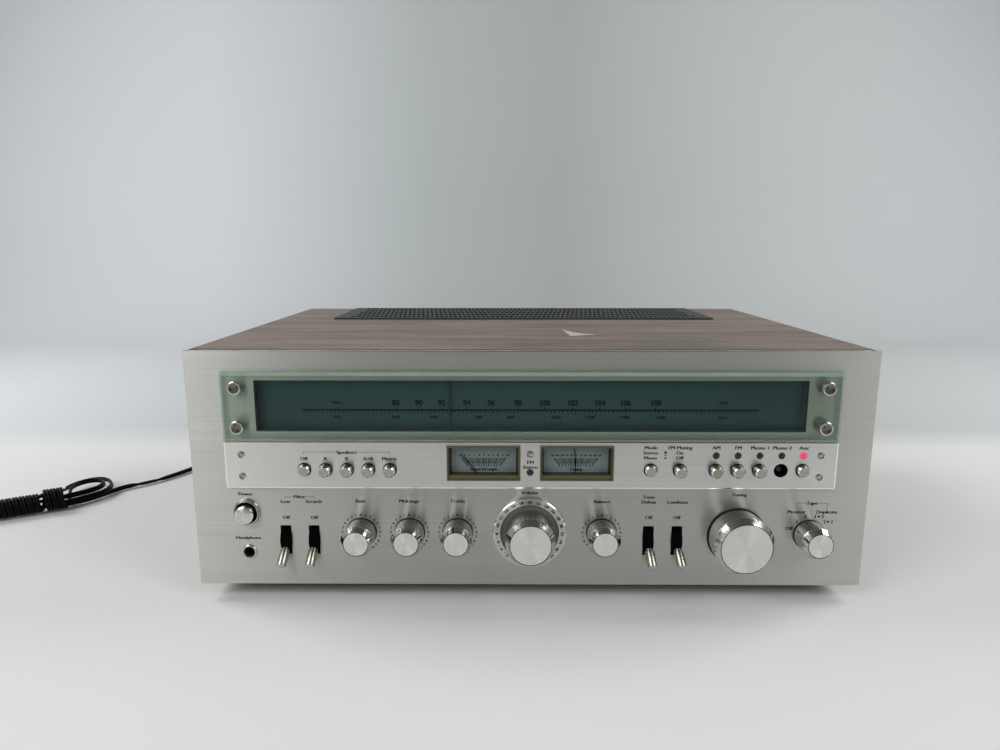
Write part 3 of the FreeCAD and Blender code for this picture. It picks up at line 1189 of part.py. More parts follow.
def moving_pieces():
    pieces = {"power_button": [power_button()]}
    for name, x, out in button_places():
        if name.startswith("selector_stem"):
            pieces[name] = [rod(x, BUTTON_ROW, STEM_RADIUS, BARE_STEM_DEPTH, STEM_END_DEPTH)]
        else:
            pieces[name] = [button(x, out)]
    for number, (x, lean) in enumerate(zip(LEVER_X, LEVER_LEANS), 1):
        pieces["lever_%d" % number] = [lever(x, lean)]
    for name, (x, height, size, radius) in KNOBS.items():
        pieces[name] = [knob(x, height, size, FRONT_WALL_BACK + POT_DEPTH - SHEET - SLIDING_GAP)]
    pieces["tuning_knob"] = [tuning_knob()]
    pieces["dial_drum"] = [dial_drum()]
    pieces["dial_pointer"] = [dial_pointer()]
    pieces["signal_needle"] = [needle(-METER_X, SIGNAL_NEEDLE_ANGLE)]
    pieces["tuning_needle"] = [needle(METER_X, TUNING_NEEDLE_ANGLE)]
    pieces["rod_antenna"] = [rod_antenna()]
    return pieces


def save(name, solids, shift):
    for solid in solids:
        solid.translate(shift)
    shape = solids[0] if len(solids) == 1 else Part.makeCompound(solids)
    shape.exportStep("parts/%s.step" % name)


def main():
    os.makedirs("parts", exist_ok=True)
    for name, solids in {**static_pieces(), **moving_pieces()}.items():
        save(name, solids, SHIFT)
    loose = {"power_cord": power_cord(), "cord_hank": cord_hank(), "mains_plug": mains_plug()}
    for name, solids in loose.items():
        save(name, solids, FreeCAD.Vector(0, 0, 0))


main()
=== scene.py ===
import math

import bmesh
import bpy
from mathutils import Matrix, Vector


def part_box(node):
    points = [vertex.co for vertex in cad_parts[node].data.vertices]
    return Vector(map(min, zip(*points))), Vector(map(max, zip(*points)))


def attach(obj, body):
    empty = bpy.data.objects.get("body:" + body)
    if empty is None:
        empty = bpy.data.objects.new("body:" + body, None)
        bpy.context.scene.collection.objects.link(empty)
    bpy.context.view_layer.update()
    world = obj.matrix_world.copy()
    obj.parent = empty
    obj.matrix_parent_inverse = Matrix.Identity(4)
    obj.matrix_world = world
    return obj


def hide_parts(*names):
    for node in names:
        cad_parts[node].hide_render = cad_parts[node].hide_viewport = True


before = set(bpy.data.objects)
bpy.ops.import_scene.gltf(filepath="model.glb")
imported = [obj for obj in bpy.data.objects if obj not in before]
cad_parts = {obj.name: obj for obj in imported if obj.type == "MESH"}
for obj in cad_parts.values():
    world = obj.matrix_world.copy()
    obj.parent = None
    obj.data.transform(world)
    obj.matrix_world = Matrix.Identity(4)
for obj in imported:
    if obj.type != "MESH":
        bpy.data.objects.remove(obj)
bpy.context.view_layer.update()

bl_info = {
    "name": "Stereo Receiver",
    "version": (1, 0, 0),
    "blender": (4, 5, 0),
    "location": "3D View > Sidebar > Receiver",
    "description": "Finishes and fine pieces of a stereo receiver with a glass dial",
    "category": "Object",
}

MM = 0.001
PANEL_LOW, PANEL_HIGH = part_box("front_panel")
FACE = PANEL_LOW.y
BASE = PANEL_LOW.z
STATIC = "receiver"
SPEAKER_BUTTONS = ["speaker_button_%d" % number for number in range(1, 6)]
SELECTOR_BUTTONS = ["selector_button_%d" % number for number in (1, 2, 3, 5)]
# How far each lever leans to the right, in degrees.
LEVERS = {"lever_1": -4.0, "lever_2": -4.0, "lever_3": 5.0, "lever_4": 6.0}
# Each knob's radius, body radius, face radius and rim length, in millimetres.
SMALL_KNOB = (11.5, 11.0, 9.1, 4.2)
KNOB_SIZES = {"bass_knob": SMALL_KNOB, "midrange_knob": SMALL_KNOB, "treble_knob": SMALL_KNOB,
              "balance_knob": SMALL_KNOB, "tape_knob": SMALL_KNOB, "volume_knob": (17.8, 17.2, 14.9, 5.2),
              "tuning_knob": (21.5, 20.9, 18.4, 5.2)}
# Pointer angles at rest, in degrees clockwise from the top.
KNOB_ANGLES = {"bass_knob": -68, "midrange_knob": 65, "treble_knob": -11, "balance_knob": -78,
               "tape_knob": -70, "volume_knob": -71}


# ---------------------------------------------------------------- small tools
def linear(code):
    """An sRGB hex colour as linear red, green, blue and alpha."""
    parts = [int(code[i:i + 2], 16) / 255 for i in (1, 3, 5)]
    return tuple(c / 12.92 if c <= 0.04045 else ((c + 0.055) / 1.055) ** 2.4 for c in parts) + (1.0,)


def place(x, depth, height):
    """A point from millimetres across, behind the panel's face and above the panel's lower edge."""
    return Vector((x * MM, FACE + depth * MM, BASE + height * MM))


def local(point):
    """Millimetres across, behind the panel's face and above its lower edge, of a point in metres."""
    return Vector((point.x, point.y - FACE, point.z - BASE)) / MM


def span(node):
    """A CAD node's two outermost corners, as place() counts them."""
    return [local(corner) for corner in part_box(node)]


def centre(node):
    """The middle of a CAD node's front: across and height."""
    low, high = span(node)
    return (low.x + high.x) / 2, (low.z + high.z) / 2


def front(node):
    """How far behind the panel's face a CAD node starts."""
    return span(node)[0].y


def add(tree, kind, settings=None, links=None):
    """Adds a node with its settings, by property or by socket, and the links into its sockets."""
    node = tree.nodes.new("ShaderNode" + kind)
    for name, value in (settings or {}).items():
        if isinstance(name, str) and hasattr(node, name):
            setattr(node, name, value)
        else:
            node.inputs[name].default_value = value
    for name, socket in (links or {}).items():
        tree.links.new(socket, node.inputs[name])
    return node


def material(name, settings):
    """A new material with one Principled shader; returns the material, its tree and the shader."""
    made = bpy.data.materials.new(name)
    made.use_nodes = True
    shader = made.node_tree.nodes["Principled BSDF"]
    for socket, value in settings.items():
        shader.inputs[socket].default_value = value
    return made, made.node_tree, shader


def streaks(tree, scale, noise_scale, detail=4.0, coordinates=None):
    """Noise on object coordinates, stretched by scale along each axis."""
    coordinates = coordinates or add(tree, "TexCoord").outputs["Object"]
    mapping = add(tree, "Mapping", {"Scale": scale}, {"Vector": coordinates})
    return add(tree, "TexNoise", {"Scale": noise_scale, "Detail": detail, "Roughness": 0.6},
               {"Vector": mapping.outputs["Vector"]}).outputs["Fac"]


def ramp(tree, factor, stops):
    node = add(tree, "ValToRGB", links={"Fac": factor})
    elements = node.color_ramp.elements
    elements[0].position, elements[0].color = stops[0]
    elements[1].position, elements[1].color = stops[-1]
    for position, colour in stops[1:-1]:
        elements.new(position).color = colour
    return node.outputs["Color"]


def shade(colour, factor):
    return tuple(min(1.0, c * factor) for c in colour[:3]) + (1.0,)


def tones(tree, shader, factor, colour, stops):
    """Colours the shader by factor: each stop is a place on the ramp and how bright the colour is there."""
    shades = [(along, shade(colour, level)) for along, level in stops]
    tree.links.new(ramp(tree, factor, shades), shader.inputs["Base Color"])


def bump(tree, shader, height, distance, strength=1.0):
    node = add(tree, "Bump", {"Strength": strength, "Distance": distance}, {"Height": height})
    tree.links.new(node.outputs["Normal"], shader.inputs["Normal"])


# ---------------------------------------------------------------- materials
# Sizes of the fine patterns, in millimetres.
TOOL_RING = 0.5
MOULDED_GRAIN = 0.6


def brushed_aluminium(name, colour, roughness):
    """Rolled sheet brushed along its length: fine level lines, and highlights drawn out up and down."""
    made, tree, shader = material(name, {"Metallic": 1.0, "Roughness": roughness, "Anisotropic": 0.95})
    # Real brushing is finer; the lines are drawn as wide as the render can show.
    line_width = bpy.context.scene.receiver_sizes.brush_line
    lines = streaks(tree, (6.0, 6.0, 1.0 / line_width), 1.0, 5.0)
    broad = streaks(tree, (4.0, 4.0, 30.0), 1.0, 2.0)
    mixed = add(tree, "Math", {"operation": "MULTIPLY_ADD", 1: 0.35}, {0: broad, 2: lines}).outputs[0]
    tones(tree, shader, mixed, colour, [(0.42, 0.86), (0.95, 1.1)])
    upright = add(tree, "CombineXYZ", {"Z": 1.0})
    tree.links.new(upright.outputs[0], shader.inputs["Tangent"])
    bump(tree, shader, lines, 0.00002)
    return made


def turned_aluminium(name, node, colour, roughness, ring_mm=TOOL_RING, anisotropy=0.8):
    """Bar turned on a lathe: fine rings about the knob's own axis, which fan the light out, and a painted
    reflection of that fan as wedges in the colour.
    """
    made, tree, shader = material(name, {"Metallic": 1.0, "Roughness": roughness, "Anisotropic": anisotropy})
    x, height = centre(node)
    axis = place(x, 0, height)
    coordinates = add(tree, "TexCoord").outputs["Object"]
    offset = add(tree, "VectorMath", {"operation": "SUBTRACT", 1: axis}, {0: coordinates}).outputs[0]
    flat = add(tree, "VectorMath", {"operation": "MULTIPLY", 1: (1, 0, 1)}, {0: offset}).outputs[0]
    radius = add(tree, "VectorMath", {"operation": "LENGTH"}, {0: flat}).outputs["Value"]
    scaled = add(tree, "Math", {"operation": "MULTIPLY", 1: 1.0 / (ring_mm * MM)}, {0: radius}).outputs[0]
    rings = add(tree, "TexNoise", {"noise_dimensions": "1D", "Scale": 1.0, "Detail": 3.0},
                {"W": scaled}).outputs["Fac"]
    # The fan on the face: two lighter and two darker wedges, a painted reflection of the light that the
    # turned metal throws back, with finer rays in them.
    split = add(tree, "SeparateXYZ", links={0: offset})
    angle = add(tree, "Math", {"operation": "ARCTAN2"},
                {0: split.outputs["X"], 1: split.outputs["Z"]}).outputs[0]
    double = add(tree, "Math", {"operation": "MULTIPLY", 1: 2.0}, {0: angle}).outputs[0]
    painted_bowtie = add(tree, "Math", {"operation": "COSINE"}, {0: double}).outputs[0]
    rays = add(tree, "TexNoise", {"noise_dimensions": "1D", "Scale": 6.0, "Detail": 2.0},
               {"W": angle}).outputs["Fac"]
    fan = add(tree, "Math", {"operation": "MULTIPLY_ADD", 1: 0.12}, {0: painted_bowtie, 2: rings}).outputs[0]
    mixed = add(tree, "Math", {"operation": "MULTIPLY_ADD", 1: 0.35}, {0: rays, 2: fan}).outputs[0]
    tones(tree, shader, mixed, colour, [(0.4, 0.84), (0.95, 1.12)])
    # Across the tool marks: outwards on a face, along the axis on a side.
    outwards = add(tree, "VectorMath", {"operation": "NORMALIZE"}, {0: flat}).outputs[0]
    across = add(tree, "VectorMath", {"operation": "ADD", 1: (0, 1, 0)}, {0: outwards}).outputs[0]
    turned_with = add(tree, "VectorTransform",
                      {"vector_type": "VECTOR", "convert_from": "OBJECT", "convert_to": "WORLD"}, {0: across})
    tree.links.new(turned_with.outputs[0], shader.inputs["Tangent"])
    bump(tree, shader, rings, 0.00001)
    return made


def mottled(name, settings, colour, noise_scale, stops=None, haze=None, relief=0.0, detail=4.0):
    """Even noise that moves the colour by stops, the roughness over haze and the height by relief."""
    made, tree, shader = material(name, settings)
    noise = streaks(tree, (1, 1, 1), noise_scale, detail)
    if stops:
        tones(tree, shader, noise, colour, stops)
    if haze:
        amount = add(tree, "MapRange", {"To Min": haze[0], "To Max": haze[1]}, {"Value": noise})
        tree.links.new(amount.outputs[0], shader.inputs["Roughness"])
    if relief:
        bump(tree, shader, noise, relief)
    return made


def polished_metal(name, colour, roughness):
    """Chrome plate or a diamond-cut edge: a near mirror with faint handling haze."""
    return mottled(name, {"Metallic": 1.0, "Base Color": colour}, colour, 400.0,
                   haze=(roughness * 0.7, roughness * 1.5))


def plastic(name, colour, roughness, ior=1.5):
    """Moulded ABS: one colour through, a faint moulded grain."""
    return mottled(name, {"Roughness": roughness, "IOR": ior}, colour, 1.0 / (MOULDED_GRAIN * MM),
                   [(0.3, 0.88), (0.7, 1.12)], relief=0.00003)


def painted_steel(name, colour, roughness):
    """Stove-enamelled sheet: slight orange peel, edges a little lighter."""
    return mottled(name, {"Roughness": roughness}, colour, 900.0, [(0.3, 0.85), (0.75, 1.15)],
                   relief=0.00004, detail=2.0)


def plated_steel(name, colour, roughness):
    """Zinc-plated pressed steel: dull metal with soft cloudy spangle."""
    return mottled(name, {"Metallic": 1.0}, colour, 90.0, [(0.3, 0.8), (0.7, 1.1)],
                   haze=(roughness * 0.8, roughness * 1.3))


def printed_ink(name, colour):
    """Screen-printed ink: flat, slightly broken at its edges."""
    return mottled(name, {"Roughness": 0.6, "Specular IOR Level": 0.1}, colour, 1500.0,
                   [(0.4, 1.0), (0.9, 1.4)])


def lamp_lens(name, colour, glow):
    """Clear red epoxy lens: deep colour, glossy dome, and a glow in the one that is lit; the unlit ones get a
    faint painted glow.
    """
    return mottled(name, {"Roughness": 0.1, "Emission Strength": glow, "Emission Color": colour}, colour,
                   700.0, [(0.3, 0.7), (0.7, 1.0)])


def rubber(name, colour, roughness):
    """Extruded vinyl or moulded rubber: black with a low, even gloss and a little dust."""
    return mottled(name, {"Roughness": roughness, "Specular IOR Level": 0.1}, colour, 350.0,
                   [(0.3, 0.8), (0.8, 1.25)], relief=0.00005)


def walnut_veneer(name, colour):
    """Sliced walnut veneer under thin oil: long grain along the cabinet, darker streaks and short pores."""
    made, tree, shader = material(name, {"Roughness": 0.5, "Coat Weight": 0.1, "Coat Roughness": 0.35})
    # The grain runs across on the top, and from front to back on the two sides.
    along_top = add(tree, "TexCoord").outputs["Object"]
    split = add(tree, "SeparateXYZ", links={0: along_top}).outputs
    along_side = add(tree, "CombineXYZ", links={0: split["Y"], 1: split["X"], 2: split["Z"]}).outputs[0]
    facing = add(tree, "SeparateXYZ", links={0: add(tree, "NewGeometry").outputs["Normal"]}).outputs["X"]
    sideways = add(tree, "Math", {"operation": "ABSOLUTE"}, {0: facing}).outputs[0]
    on_side = add(tree, "Math", {"operation": "GREATER_THAN", 1: 0.7}, {0: sideways}).outputs[0]
    grain = add(tree, "Mix", {"data_type": "VECTOR"}, {0: on_side, 4: along_top, 5: along_side}).outputs[1]
    figure = streaks(tree, (5.0, 42.0, 42.0), 1.0, 6.0, grain)
    streak = streaks(tree, (11.0, 260.0, 260.0), 1.0, 5.0, grain)
    pores = streaks(tree, (60.0, 700.0, 700.0), 1.0, 2.0, grain)
    mixed = add(tree, "Math", {"operation": "MULTIPLY_ADD", 1: 0.9}, {0: streak, 2: figure}).outputs[0]
    # The sum reaches past one, where a colour ramp ends.
    level = add(tree, "MapRange", {"From Min": 0.6, "From Max": 1.3}, {"Value": mixed}).outputs[0]
    wood = ramp(tree, level, [(0.2, shade(colour, 0.45)), (0.40, shade(colour, 0.76)), (0.54, colour),
                              (0.8, shade(colour, 1.35))])
    pits = ramp(tree, pores, [(0.34, (0.35, 0.3, 0.28, 1)), (0.42, (1, 1, 1, 1))])
    blend = add(tree, "Mix", {"data_type": "RGBA", "blend_type": "MULTIPLY", "Factor": 0.7},
                {6: wood, 7: pits})
    tree.links.new(blend.outputs[2], shader.inputs["Base Color"])
    bump(tree, shader, pores, 0.00008, 0.5)
    return made


def float_glass(name, colour, ior):
    """Polished face of green float glass: it tints the light that passes, and its surroundings glance off."""
    made, tree, shader = material(name, {"Base Color": colour})
    tree.nodes.remove(shader)
    smear = streaks(tree, (1, 1, 1), 14.0)
    amount = add(tree, "MapRange", {"To Min": 0.02, "To Max": 0.07}, {"Value": smear}).outputs[0]
    gloss = add(tree, "BsdfAnisotropic", {"Color": (1, 1, 1, 1)}, {"Roughness": amount})
    clear = add(tree, "BsdfTransparent", {"Color": colour})
    edge_on = add(tree, "Fresnel", {"IOR": ior})
    mix = add(tree, "MixShader", links={0: edge_on.outputs[0], 1: clear.outputs[0], 2: gloss.outputs[0]})
    tree.links.new(mix.outputs[0], tree.nodes["Material Output"].inputs["Surface"])
    return made


def ground_glass(name, colour, tint_through):
    """The ground and bevelled edge of the same glass, where its whole depth of green shows."""
    made, tree, shader = material(name, {"Roughness": 0.15, "IOR": 1.52})
    depth = streaks(tree, (8.0, 8.0, 8.0), 3.0)
    tones(tree, shader, depth, colour, [(0.3, 0.85), (0.7, 1.1)])
    clear = add(tree, "BsdfTransparent", {"Color": linear(tint_through)})
    mix = add(tree, "MixShader", {0: 0.42}, {1: clear.outputs[0], 2: shader.outputs[0]})
    tree.links.new(mix.outputs[0], tree.nodes["Material Output"].inputs["Surface"])
    return made


def dial_enamel(name, colour):
    """Enamelled scale plate: even colour that deepens towards its ends."""
    made, tree, shader = material(name, {"Roughness": 0.5})
    coordinates = add(tree, "TexCoord").outputs["Object"]
    split = add(tree, "SeparateXYZ", links={0: coordinates})
    spread = add(tree, "Math", {"operation": "ABSOLUTE"}, {0: split.outputs["X"]}).outputs[0]
    cloud = streaks(tree, (3, 3, 9), 3.0)
    total = add(tree, "Math", {"operation": "MULTIPLY_ADD", 1: 0.12}, {0: cloud, 2: spread}).outputs[0]
    tones(tree, shader, total, colour, [(0.05, 1.0), (0.26, 0.8)])
    return made


def studio_paper(name, floor_colour, painted_wall_light):
    """Matt paper under and behind the object: pale below, with painted shade that greys the middle of the
    backdrop.
    """
    made, tree, shader = material(name, {"Roughness": 0.9})
    coordinates = add(tree, "TexCoord").outputs["Object"]
    split = add(tree, "SeparateXYZ", links={0: coordinates}).outputs
    across = add(tree, "MapRange", {"From Min": -1.5, "From Max": 1.5}, {"Value": split["X"]}).outputs[0]
    wall = ramp(tree, across, painted_wall_light)
    fibre = streaks(tree, (1, 1, 1), 900.0)
    floor = ramp(tree, fibre, [(0.3, shade(floor_colour, 0.99)), (0.7, shade(floor_colour, 1.01))])
    behind = add(tree, "MapRange", {"From Min": 0.24, "From Max": 0.34}, {"Value": split["Y"]}).outputs[0]
    blend = add(tree, "Mix", {"data_type": "RGBA"}, {0: behind, 6: floor, 7: wall})
    # Painted shade in what the object reflects: the paper falls away to grey well in front of it, as the
    # light on a table does.
    fall = add(tree, "MapRange", {"From Min": -0.45, "From Max": -1.0, "To Max": 0.7},
               {"Value": split["Y"]}).outputs[0]
    seen = add(tree, "LightPath").outputs["Is Camera Ray"]
    unseen = add(tree, "Math", {"operation": "SUBTRACT", 0: 1.0}, {1: seen}).outputs[0]
    before = add(tree, "Math", {"operation": "MULTIPLY"}, {0: fall, 1: unseen}).outputs[0]
    darker = add(tree, "Mix", {"data_type": "RGBA", 7: linear("#5a5a58")}, {0: before, 6: blend.outputs[2]})
    tree.links.new(darker.outputs[2], shader.inputs["Base Color"])
    return made


# Every finish: what makes it, its material's name, its colour, and what else its maker takes. A colour
# without a hash is one of the settings.
FINISH_KINDS = {
    "panel": (brushed_aluminium, "brushed_panel_aluminium", "panel", 0.36),
    "strip": (brushed_aluminium, "brushed_strip_aluminium", "strip", 0.3),
    "chrome": (polished_metal, "chrome_plate", "#c9c9c4", 0.07),
    "nickel": (polished_metal, "nickel_plate", "#aaa79a", 0.24),
    "screw_steel": (polished_metal, "plated_screw_steel", "#9a9a97", 0.2),
    "dull_steel": (polished_metal, "dished_screw_steel", "#77776e", 0.24),
    "lip": (polished_metal, "bright_strip_lip", "#f2f2ee", 0.2),
    "cut_edge": (polished_metal, "diamond_cut_aluminium", "#e4e4e0", 0.1),
    "brass": (polished_metal, "plated_brass", "#cfc39a", 0.2),
    "olive": (painted_steel, "olive_enamel", "meter_frame", 0.35),
    # A darker copy of the frames' olive: painted shade for the walls of their openings.
    "dark_olive": (painted_steel, "dark_olive_enamel", "#3b3929", 0.5),
    # A dark grey dish in the gap between the volume ring and its knob: painted shade.
    "ring_well": (painted_steel, "dark_ring_well", "#686965", 0.4),
    "meter_face": (painted_steel, "meter_face_enamel", "meter_face", 0.5),
    "pointer": (painted_steel, "pointer_paint", "#2c4446", 0.5),
    "grille": (painted_steel, "grey_stove_enamel", "grille", 0.55),
    "black_steel": (painted_steel, "black_stove_enamel", "#1a1a1a", 0.5),
    # The window's lining in two tones of one paint: the darker is painted shade, the paler painted light.
    "lining": (painted_steel, "dark_lining_paint", "#3c4442", 0.5),
    "pale_lining": (painted_steel, "pale_lining_paint", "#77827c", 0.5),
    "core": (painted_steel, "varnished_core_steel", "#2a2622", 0.5),
    "anodised": (painted_steel, "black_anodised_aluminium", "#1c1c1e", 0.4),
    "zinc": (plated_steel, "zinc_plated_steel", "#a9a9a4", 0.4),
    "black": (plastic, "black_abs", "#0e0e0e", 0.5),
    # Black for real holes, and for dark pieces that paint shade in gaps: round the buttons, behind the panel
    # and round each knob's foot.
    "hole": (plastic, "black_hollow", "#040404", 0.9),
    "drum": (plastic, "black_acetal", "#030303", 0.8, 1.12),
    "bare_wood": (plastic, "torn_veneer", "#b9b4ac", 0.8),
    "laminate": (plastic, "phenolic_board", "#8a6a35", 0.5),
    "white_ink": (printed_ink, "white_screen_ink", "#d8d8d4"),
    "meter_ink": (printed_ink, "black_meter_ink", "#060807"),
    "ink": (printed_ink, "black_screen_ink", "#0f0e0c"),
    "dial_ink": (printed_ink, "black_dial_ink", "#050a0b"),
    "dial": (dial_enamel, "teal_dial_enamel", "dial"),
    # The faces' gloss is that of a bloomed glass, which throws back less than plain glass does.
    "glass": (float_glass, "green_float_glass", "glass", 1.3),
    "glass_back": (float_glass, "green_float_glass_back", "glass", 1.05),
    "glass_edge": (ground_glass, "ground_glass_edge", "#c0d4c4", "#e2ede4"),
    "wood": (walnut_veneer, "oiled_walnut_veneer", "wood"),
    "foot": (rubber, "moulded_foot_rubber", "#141414", 0.75),
    "cord": (rubber, "extruded_cord_vinyl", "cord", 0.38),
    # The unlit lenses glow faintly too: painted light that deepens their red.
    "lens": (lamp_lens, "dark_red_lens", "#32040c", 0.02),
    "lit_lens": (lamp_lens, "lit_red_lens", "#f0305c", 0.7),
}
FINISHES = {}


def finish_of(finish):
    """A finish by its name, made the first time that it is asked for; a material is given back as it is."""
    if isinstance(finish, bpy.types.Material):
        return finish
    if finish not in FINISHES:
        maker, name, colour, *rest = FINISH_KINDS[finish]
        chosen = linear(colour) if colour[0] == "#" else getattr(bpy.context.scene.receiver_colours, colour)
        FINISHES[finish] = maker(name, chosen, *rest)
    return FINISHES[finish]


# ---------------------------------------------------------------- shapes
def marked(bm, before, index):
    """Gives every face made since before was taken the material of that index."""
    for face in bm.faces:
        if face not in before:
            face.material_index = index


def turned(bm, centre_point, profile, axis=(0, 1, 0), steps=64, index=0, closed=False):
    """Spins (radius, along) points, in millimetres, about the axis through centre_point."""
    before = set(bm.faces)
    turn = Vector((0, 1, 0)).rotation_difference(Vector(axis)).to_matrix()
    points = [centre_point + turn @ Vector((radius * MM, along * MM, 0)) for radius, along in profile]
    corners = [bm.verts.new(point) for point in points]
    pairs = list(zip(corners, corners[1:])) + ([(corners[-1], corners[0])] if closed else [])
    edges = [bm.edges.new(pair) for pair in pairs]
    bmesh.ops.spin(bm, geom=corners + edges, cent=centre_point, axis=axis, dvec=(0, 0, 0),
                   angle=2 * math.pi, steps=steps, use_merge=True, use_duplicate=False)
    marked(bm, before, index)


def turned_all(bm, node, parts, steps=64):
    """Turned surfaces about a CAD node's own axis, each given as its material's index and its profile."""
    x, height = centre(node)
    for index, profile in parts:
        turned(bm, place(x, 0, height), profile, steps=steps, index=index)


def block(bm, low, high, bevel=0.0, segments=2, index=0, matrix=None):
    """A box between two corners in metres, its edges rounded by bevel millimetres."""
    before = set(bm.faces)
    corners = bmesh.ops.create_cube(bm, size=1.0)["verts"]
    bmesh.ops.scale(bm, vec=high - low, verts=corners)
    bmesh.ops.translate(bm, vec=(low + high) / 2, verts=corners)
    if matrix is not None:
        bmesh.ops.transform(bm, matrix=matrix, verts=corners)
    if bevel:
        edges = list({edge for corner in corners for edge in corner.link_edges})
        bmesh.ops.bevel(bm, geom=edges, offset=bevel * MM, segments=segments, profile=0.5,
                        affect="EDGES", material=-1)
    marked(bm, before, index)


def stroke(bm, start, end, width, depth, index=0):
    """A flat printed line that faces forwards, from (x, height) to (x, height), in millimetres."""
    before = set(bm.faces)
    run = Vector((end[0] - start[0], 0, end[1] - start[1]))
    corners = bmesh.ops.create_grid(bm, x_segments=1, y_segments=1, size=0.5)["verts"]
    across = run.normalized()
    upwards = across.cross(Vector((0, 1, 0)))
    turn = Matrix((across, upwards, Vector((0, -1, 0)))).transposed().to_4x4()
    middle = place((start[0] + end[0]) / 2, depth, (start[1] + end[1]) / 2)
    scale = Matrix.Diagonal((run.length * MM, width * MM, 1.0, 1.0))
    bmesh.ops.transform(bm, matrix=Matrix.Translation(middle) @ turn @ scale, verts=corners)
    marked(bm, before, index)


def spot(bm, x, height, radius, depth):
    """A small printed dot that faces forwards."""
    matrix = Matrix.Translation(place(x, depth, height)) @ Matrix.Rotation(math.pi / 2, 4, "X")
    bmesh.ops.create_circle(bm, cap_ends=True, radius=radius * MM, segments=8, matrix=matrix)


def words(bm, items, depth, index=0, weight=0.045, stretch=1.12, behind=False):
    """Adds flat lettering from (text, x, height, capital height, turn in degrees clockwise).

    Each letter is laid down twice, weight times its size to either side, which thickens its upright strokes.
    """
    before = set(bm.faces)
    faces = Matrix.Rotation(math.pi if behind else 0.0, 4, "Z")
    for text, x, height, tall, turn in items:
        curve = bpy.data.curves.new("lettering", "FONT")
        curve.body = text
        curve.align_x = "CENTER"
        curve.resolution_u = 2
        writing = bpy.data.objects.new("lettering", curve)
        mesh = bpy.data.meshes.new_from_object(writing)
        # A capital letter of this typeface is 0.7 of its size tall.
        size = tall * MM / 0.7
        scale = Matrix.Diagonal((size * stretch, size, size, 1.0))
        lowered = Matrix.Translation((0, -0.35, 0))
        upright = Matrix.Rotation(math.pi / 2, 4, "X")
        spun = Matrix.Rotation(math.radians(turn), 4, "Y")
        turned_with = Matrix.Translation(place(x, depth, height)) @ faces @ spun @ upright @ scale @ lowered
        mesh.transform(turned_with @ Matrix.Translation((-weight, 0, 0)))
        bm.from_mesh(mesh)
        step = turned_with.to_3x3() @ Vector((2 * weight, 0, 0))
        mesh.transform(Matrix.Translation(step))
        bm.from_mesh(mesh)
        bpy.data.objects.remove(writing)
        bpy.data.curves.remove(curve)
        bpy.data.meshes.remove(mesh)
    marked(bm, before, index)


def piece(bm, name, finishes, body=STATIC, replaces=(), sharp=35, flat=False):
    """Turns a bmesh into a finished object that rides on a body."""
    bmesh.ops.remove_doubles(bm, verts=bm.verts, dist=1e-6)
    if not flat:
        bmesh.ops.recalc_face_normals(bm, faces=bm.faces)
    mesh = bpy.data.meshes.new(name)
    bm.to_mesh(mesh)
    bm.free()
    mesh.shade_smooth()
    mesh.set_sharp_from_angle(angle=math.radians(sharp))
    for finish in finishes:
        mesh.materials.append(finish_of(finish))
    made = bpy.data.objects.new(name, mesh)
    bpy.context.scene.collection.objects.link(made)
    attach(made, body)
    if replaces:
        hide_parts(*replaces)
    return made


def dress(node, finish):
    """Gives a CAD node its finish."""
    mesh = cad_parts[node].data
    mesh.materials.clear()
    mesh.materials.append(finish_of(finish))


def around(x, height, radius, degrees):
    """The (x, height) at an angle clockwise from the top."""
    turn = math.radians(degrees)
    return x + radius * math.sin(turn), height + radius * math.cos(turn)


# ---------------------------------------------------------------- settings
def length(name, description, millimetres):
    return bpy.props.FloatProperty(name=name, description=description, default=millimetres * MM, min=0.00001,
                                   precision=5, subtype="DISTANCE", unit="LENGTH")


def tint(name, description, code):
    return bpy.props.FloatVectorProperty(name=name, description=description, subtype="COLOR", size=4,
                                         min=0.0, max=1.0, default=linear(code))


class ReceiverSizes(bpy.types.PropertyGroup):
    brush_line: length("Brush line", "Width of the brushed lines on the front", 0.45)
    cord_width: length("Cord width", "Width of the flat mains cord", 5.3)
    cord_thickness: length("Cord thickness", "Thickness of the flat mains cord", 2.7)
    label_height: length("Label height", "Height of a capital letter on the front", 2.5)
    number_height: length("Number height", "Height of a numeral round a knob", 1.75)
    dial_number_height: length("Dial number height", "Height of the dial's upper numerals", 4.4)


class ReceiverColours(bpy.types.PropertyGroup):
    panel: tint("Panel", "Brushed front panel", "#c6c6c1")
    strip: tint("Strip", "Brushed control strip", "#e0dfdc")
    wood: tint("Wood", "Walnut veneer", "#7a6a5c")
    grille: tint("Grille", "Ventilation grille", "#2a2e2b")
    dial: tint("Dial", "Scale plate behind the glass", "#3b5e67")
    glass: tint("Glass", "Green cast of the dial glass", "#f3f8f4")
    meter_face: tint("Meter face", "Faces of the two meters", "#768383")
    meter_frame: tint("Meter frame", "Frames of the two meters", "#585539")
    cord: tint("Cord", "Sheath of the mains cord", "#060607")
    floor: tint("Floor", "Floor under the object", "#e9e9e8")


# ---------------------------------------------------------------- stage
LENS = 25.34
SENSOR_WIDTH = 36.0
CAMERA_PLACE = (-18.3, -487.4, 249.2)
# The camera looks down and leans by these angles, in radians.
CAMERA_DOWN = 0.1833
CAMERA_LEAN = 0.0069
# The floor's half width, and where the backdrop rises, how high and with what bend, in metres.
FLOOR_REACH = 3.0
BACKDROP_DEPTH = 1.6
BACKDROP_HEIGHT = 2.4
BACKDROP_BEND = 0.4
FLOOR_DROP = -0.0002
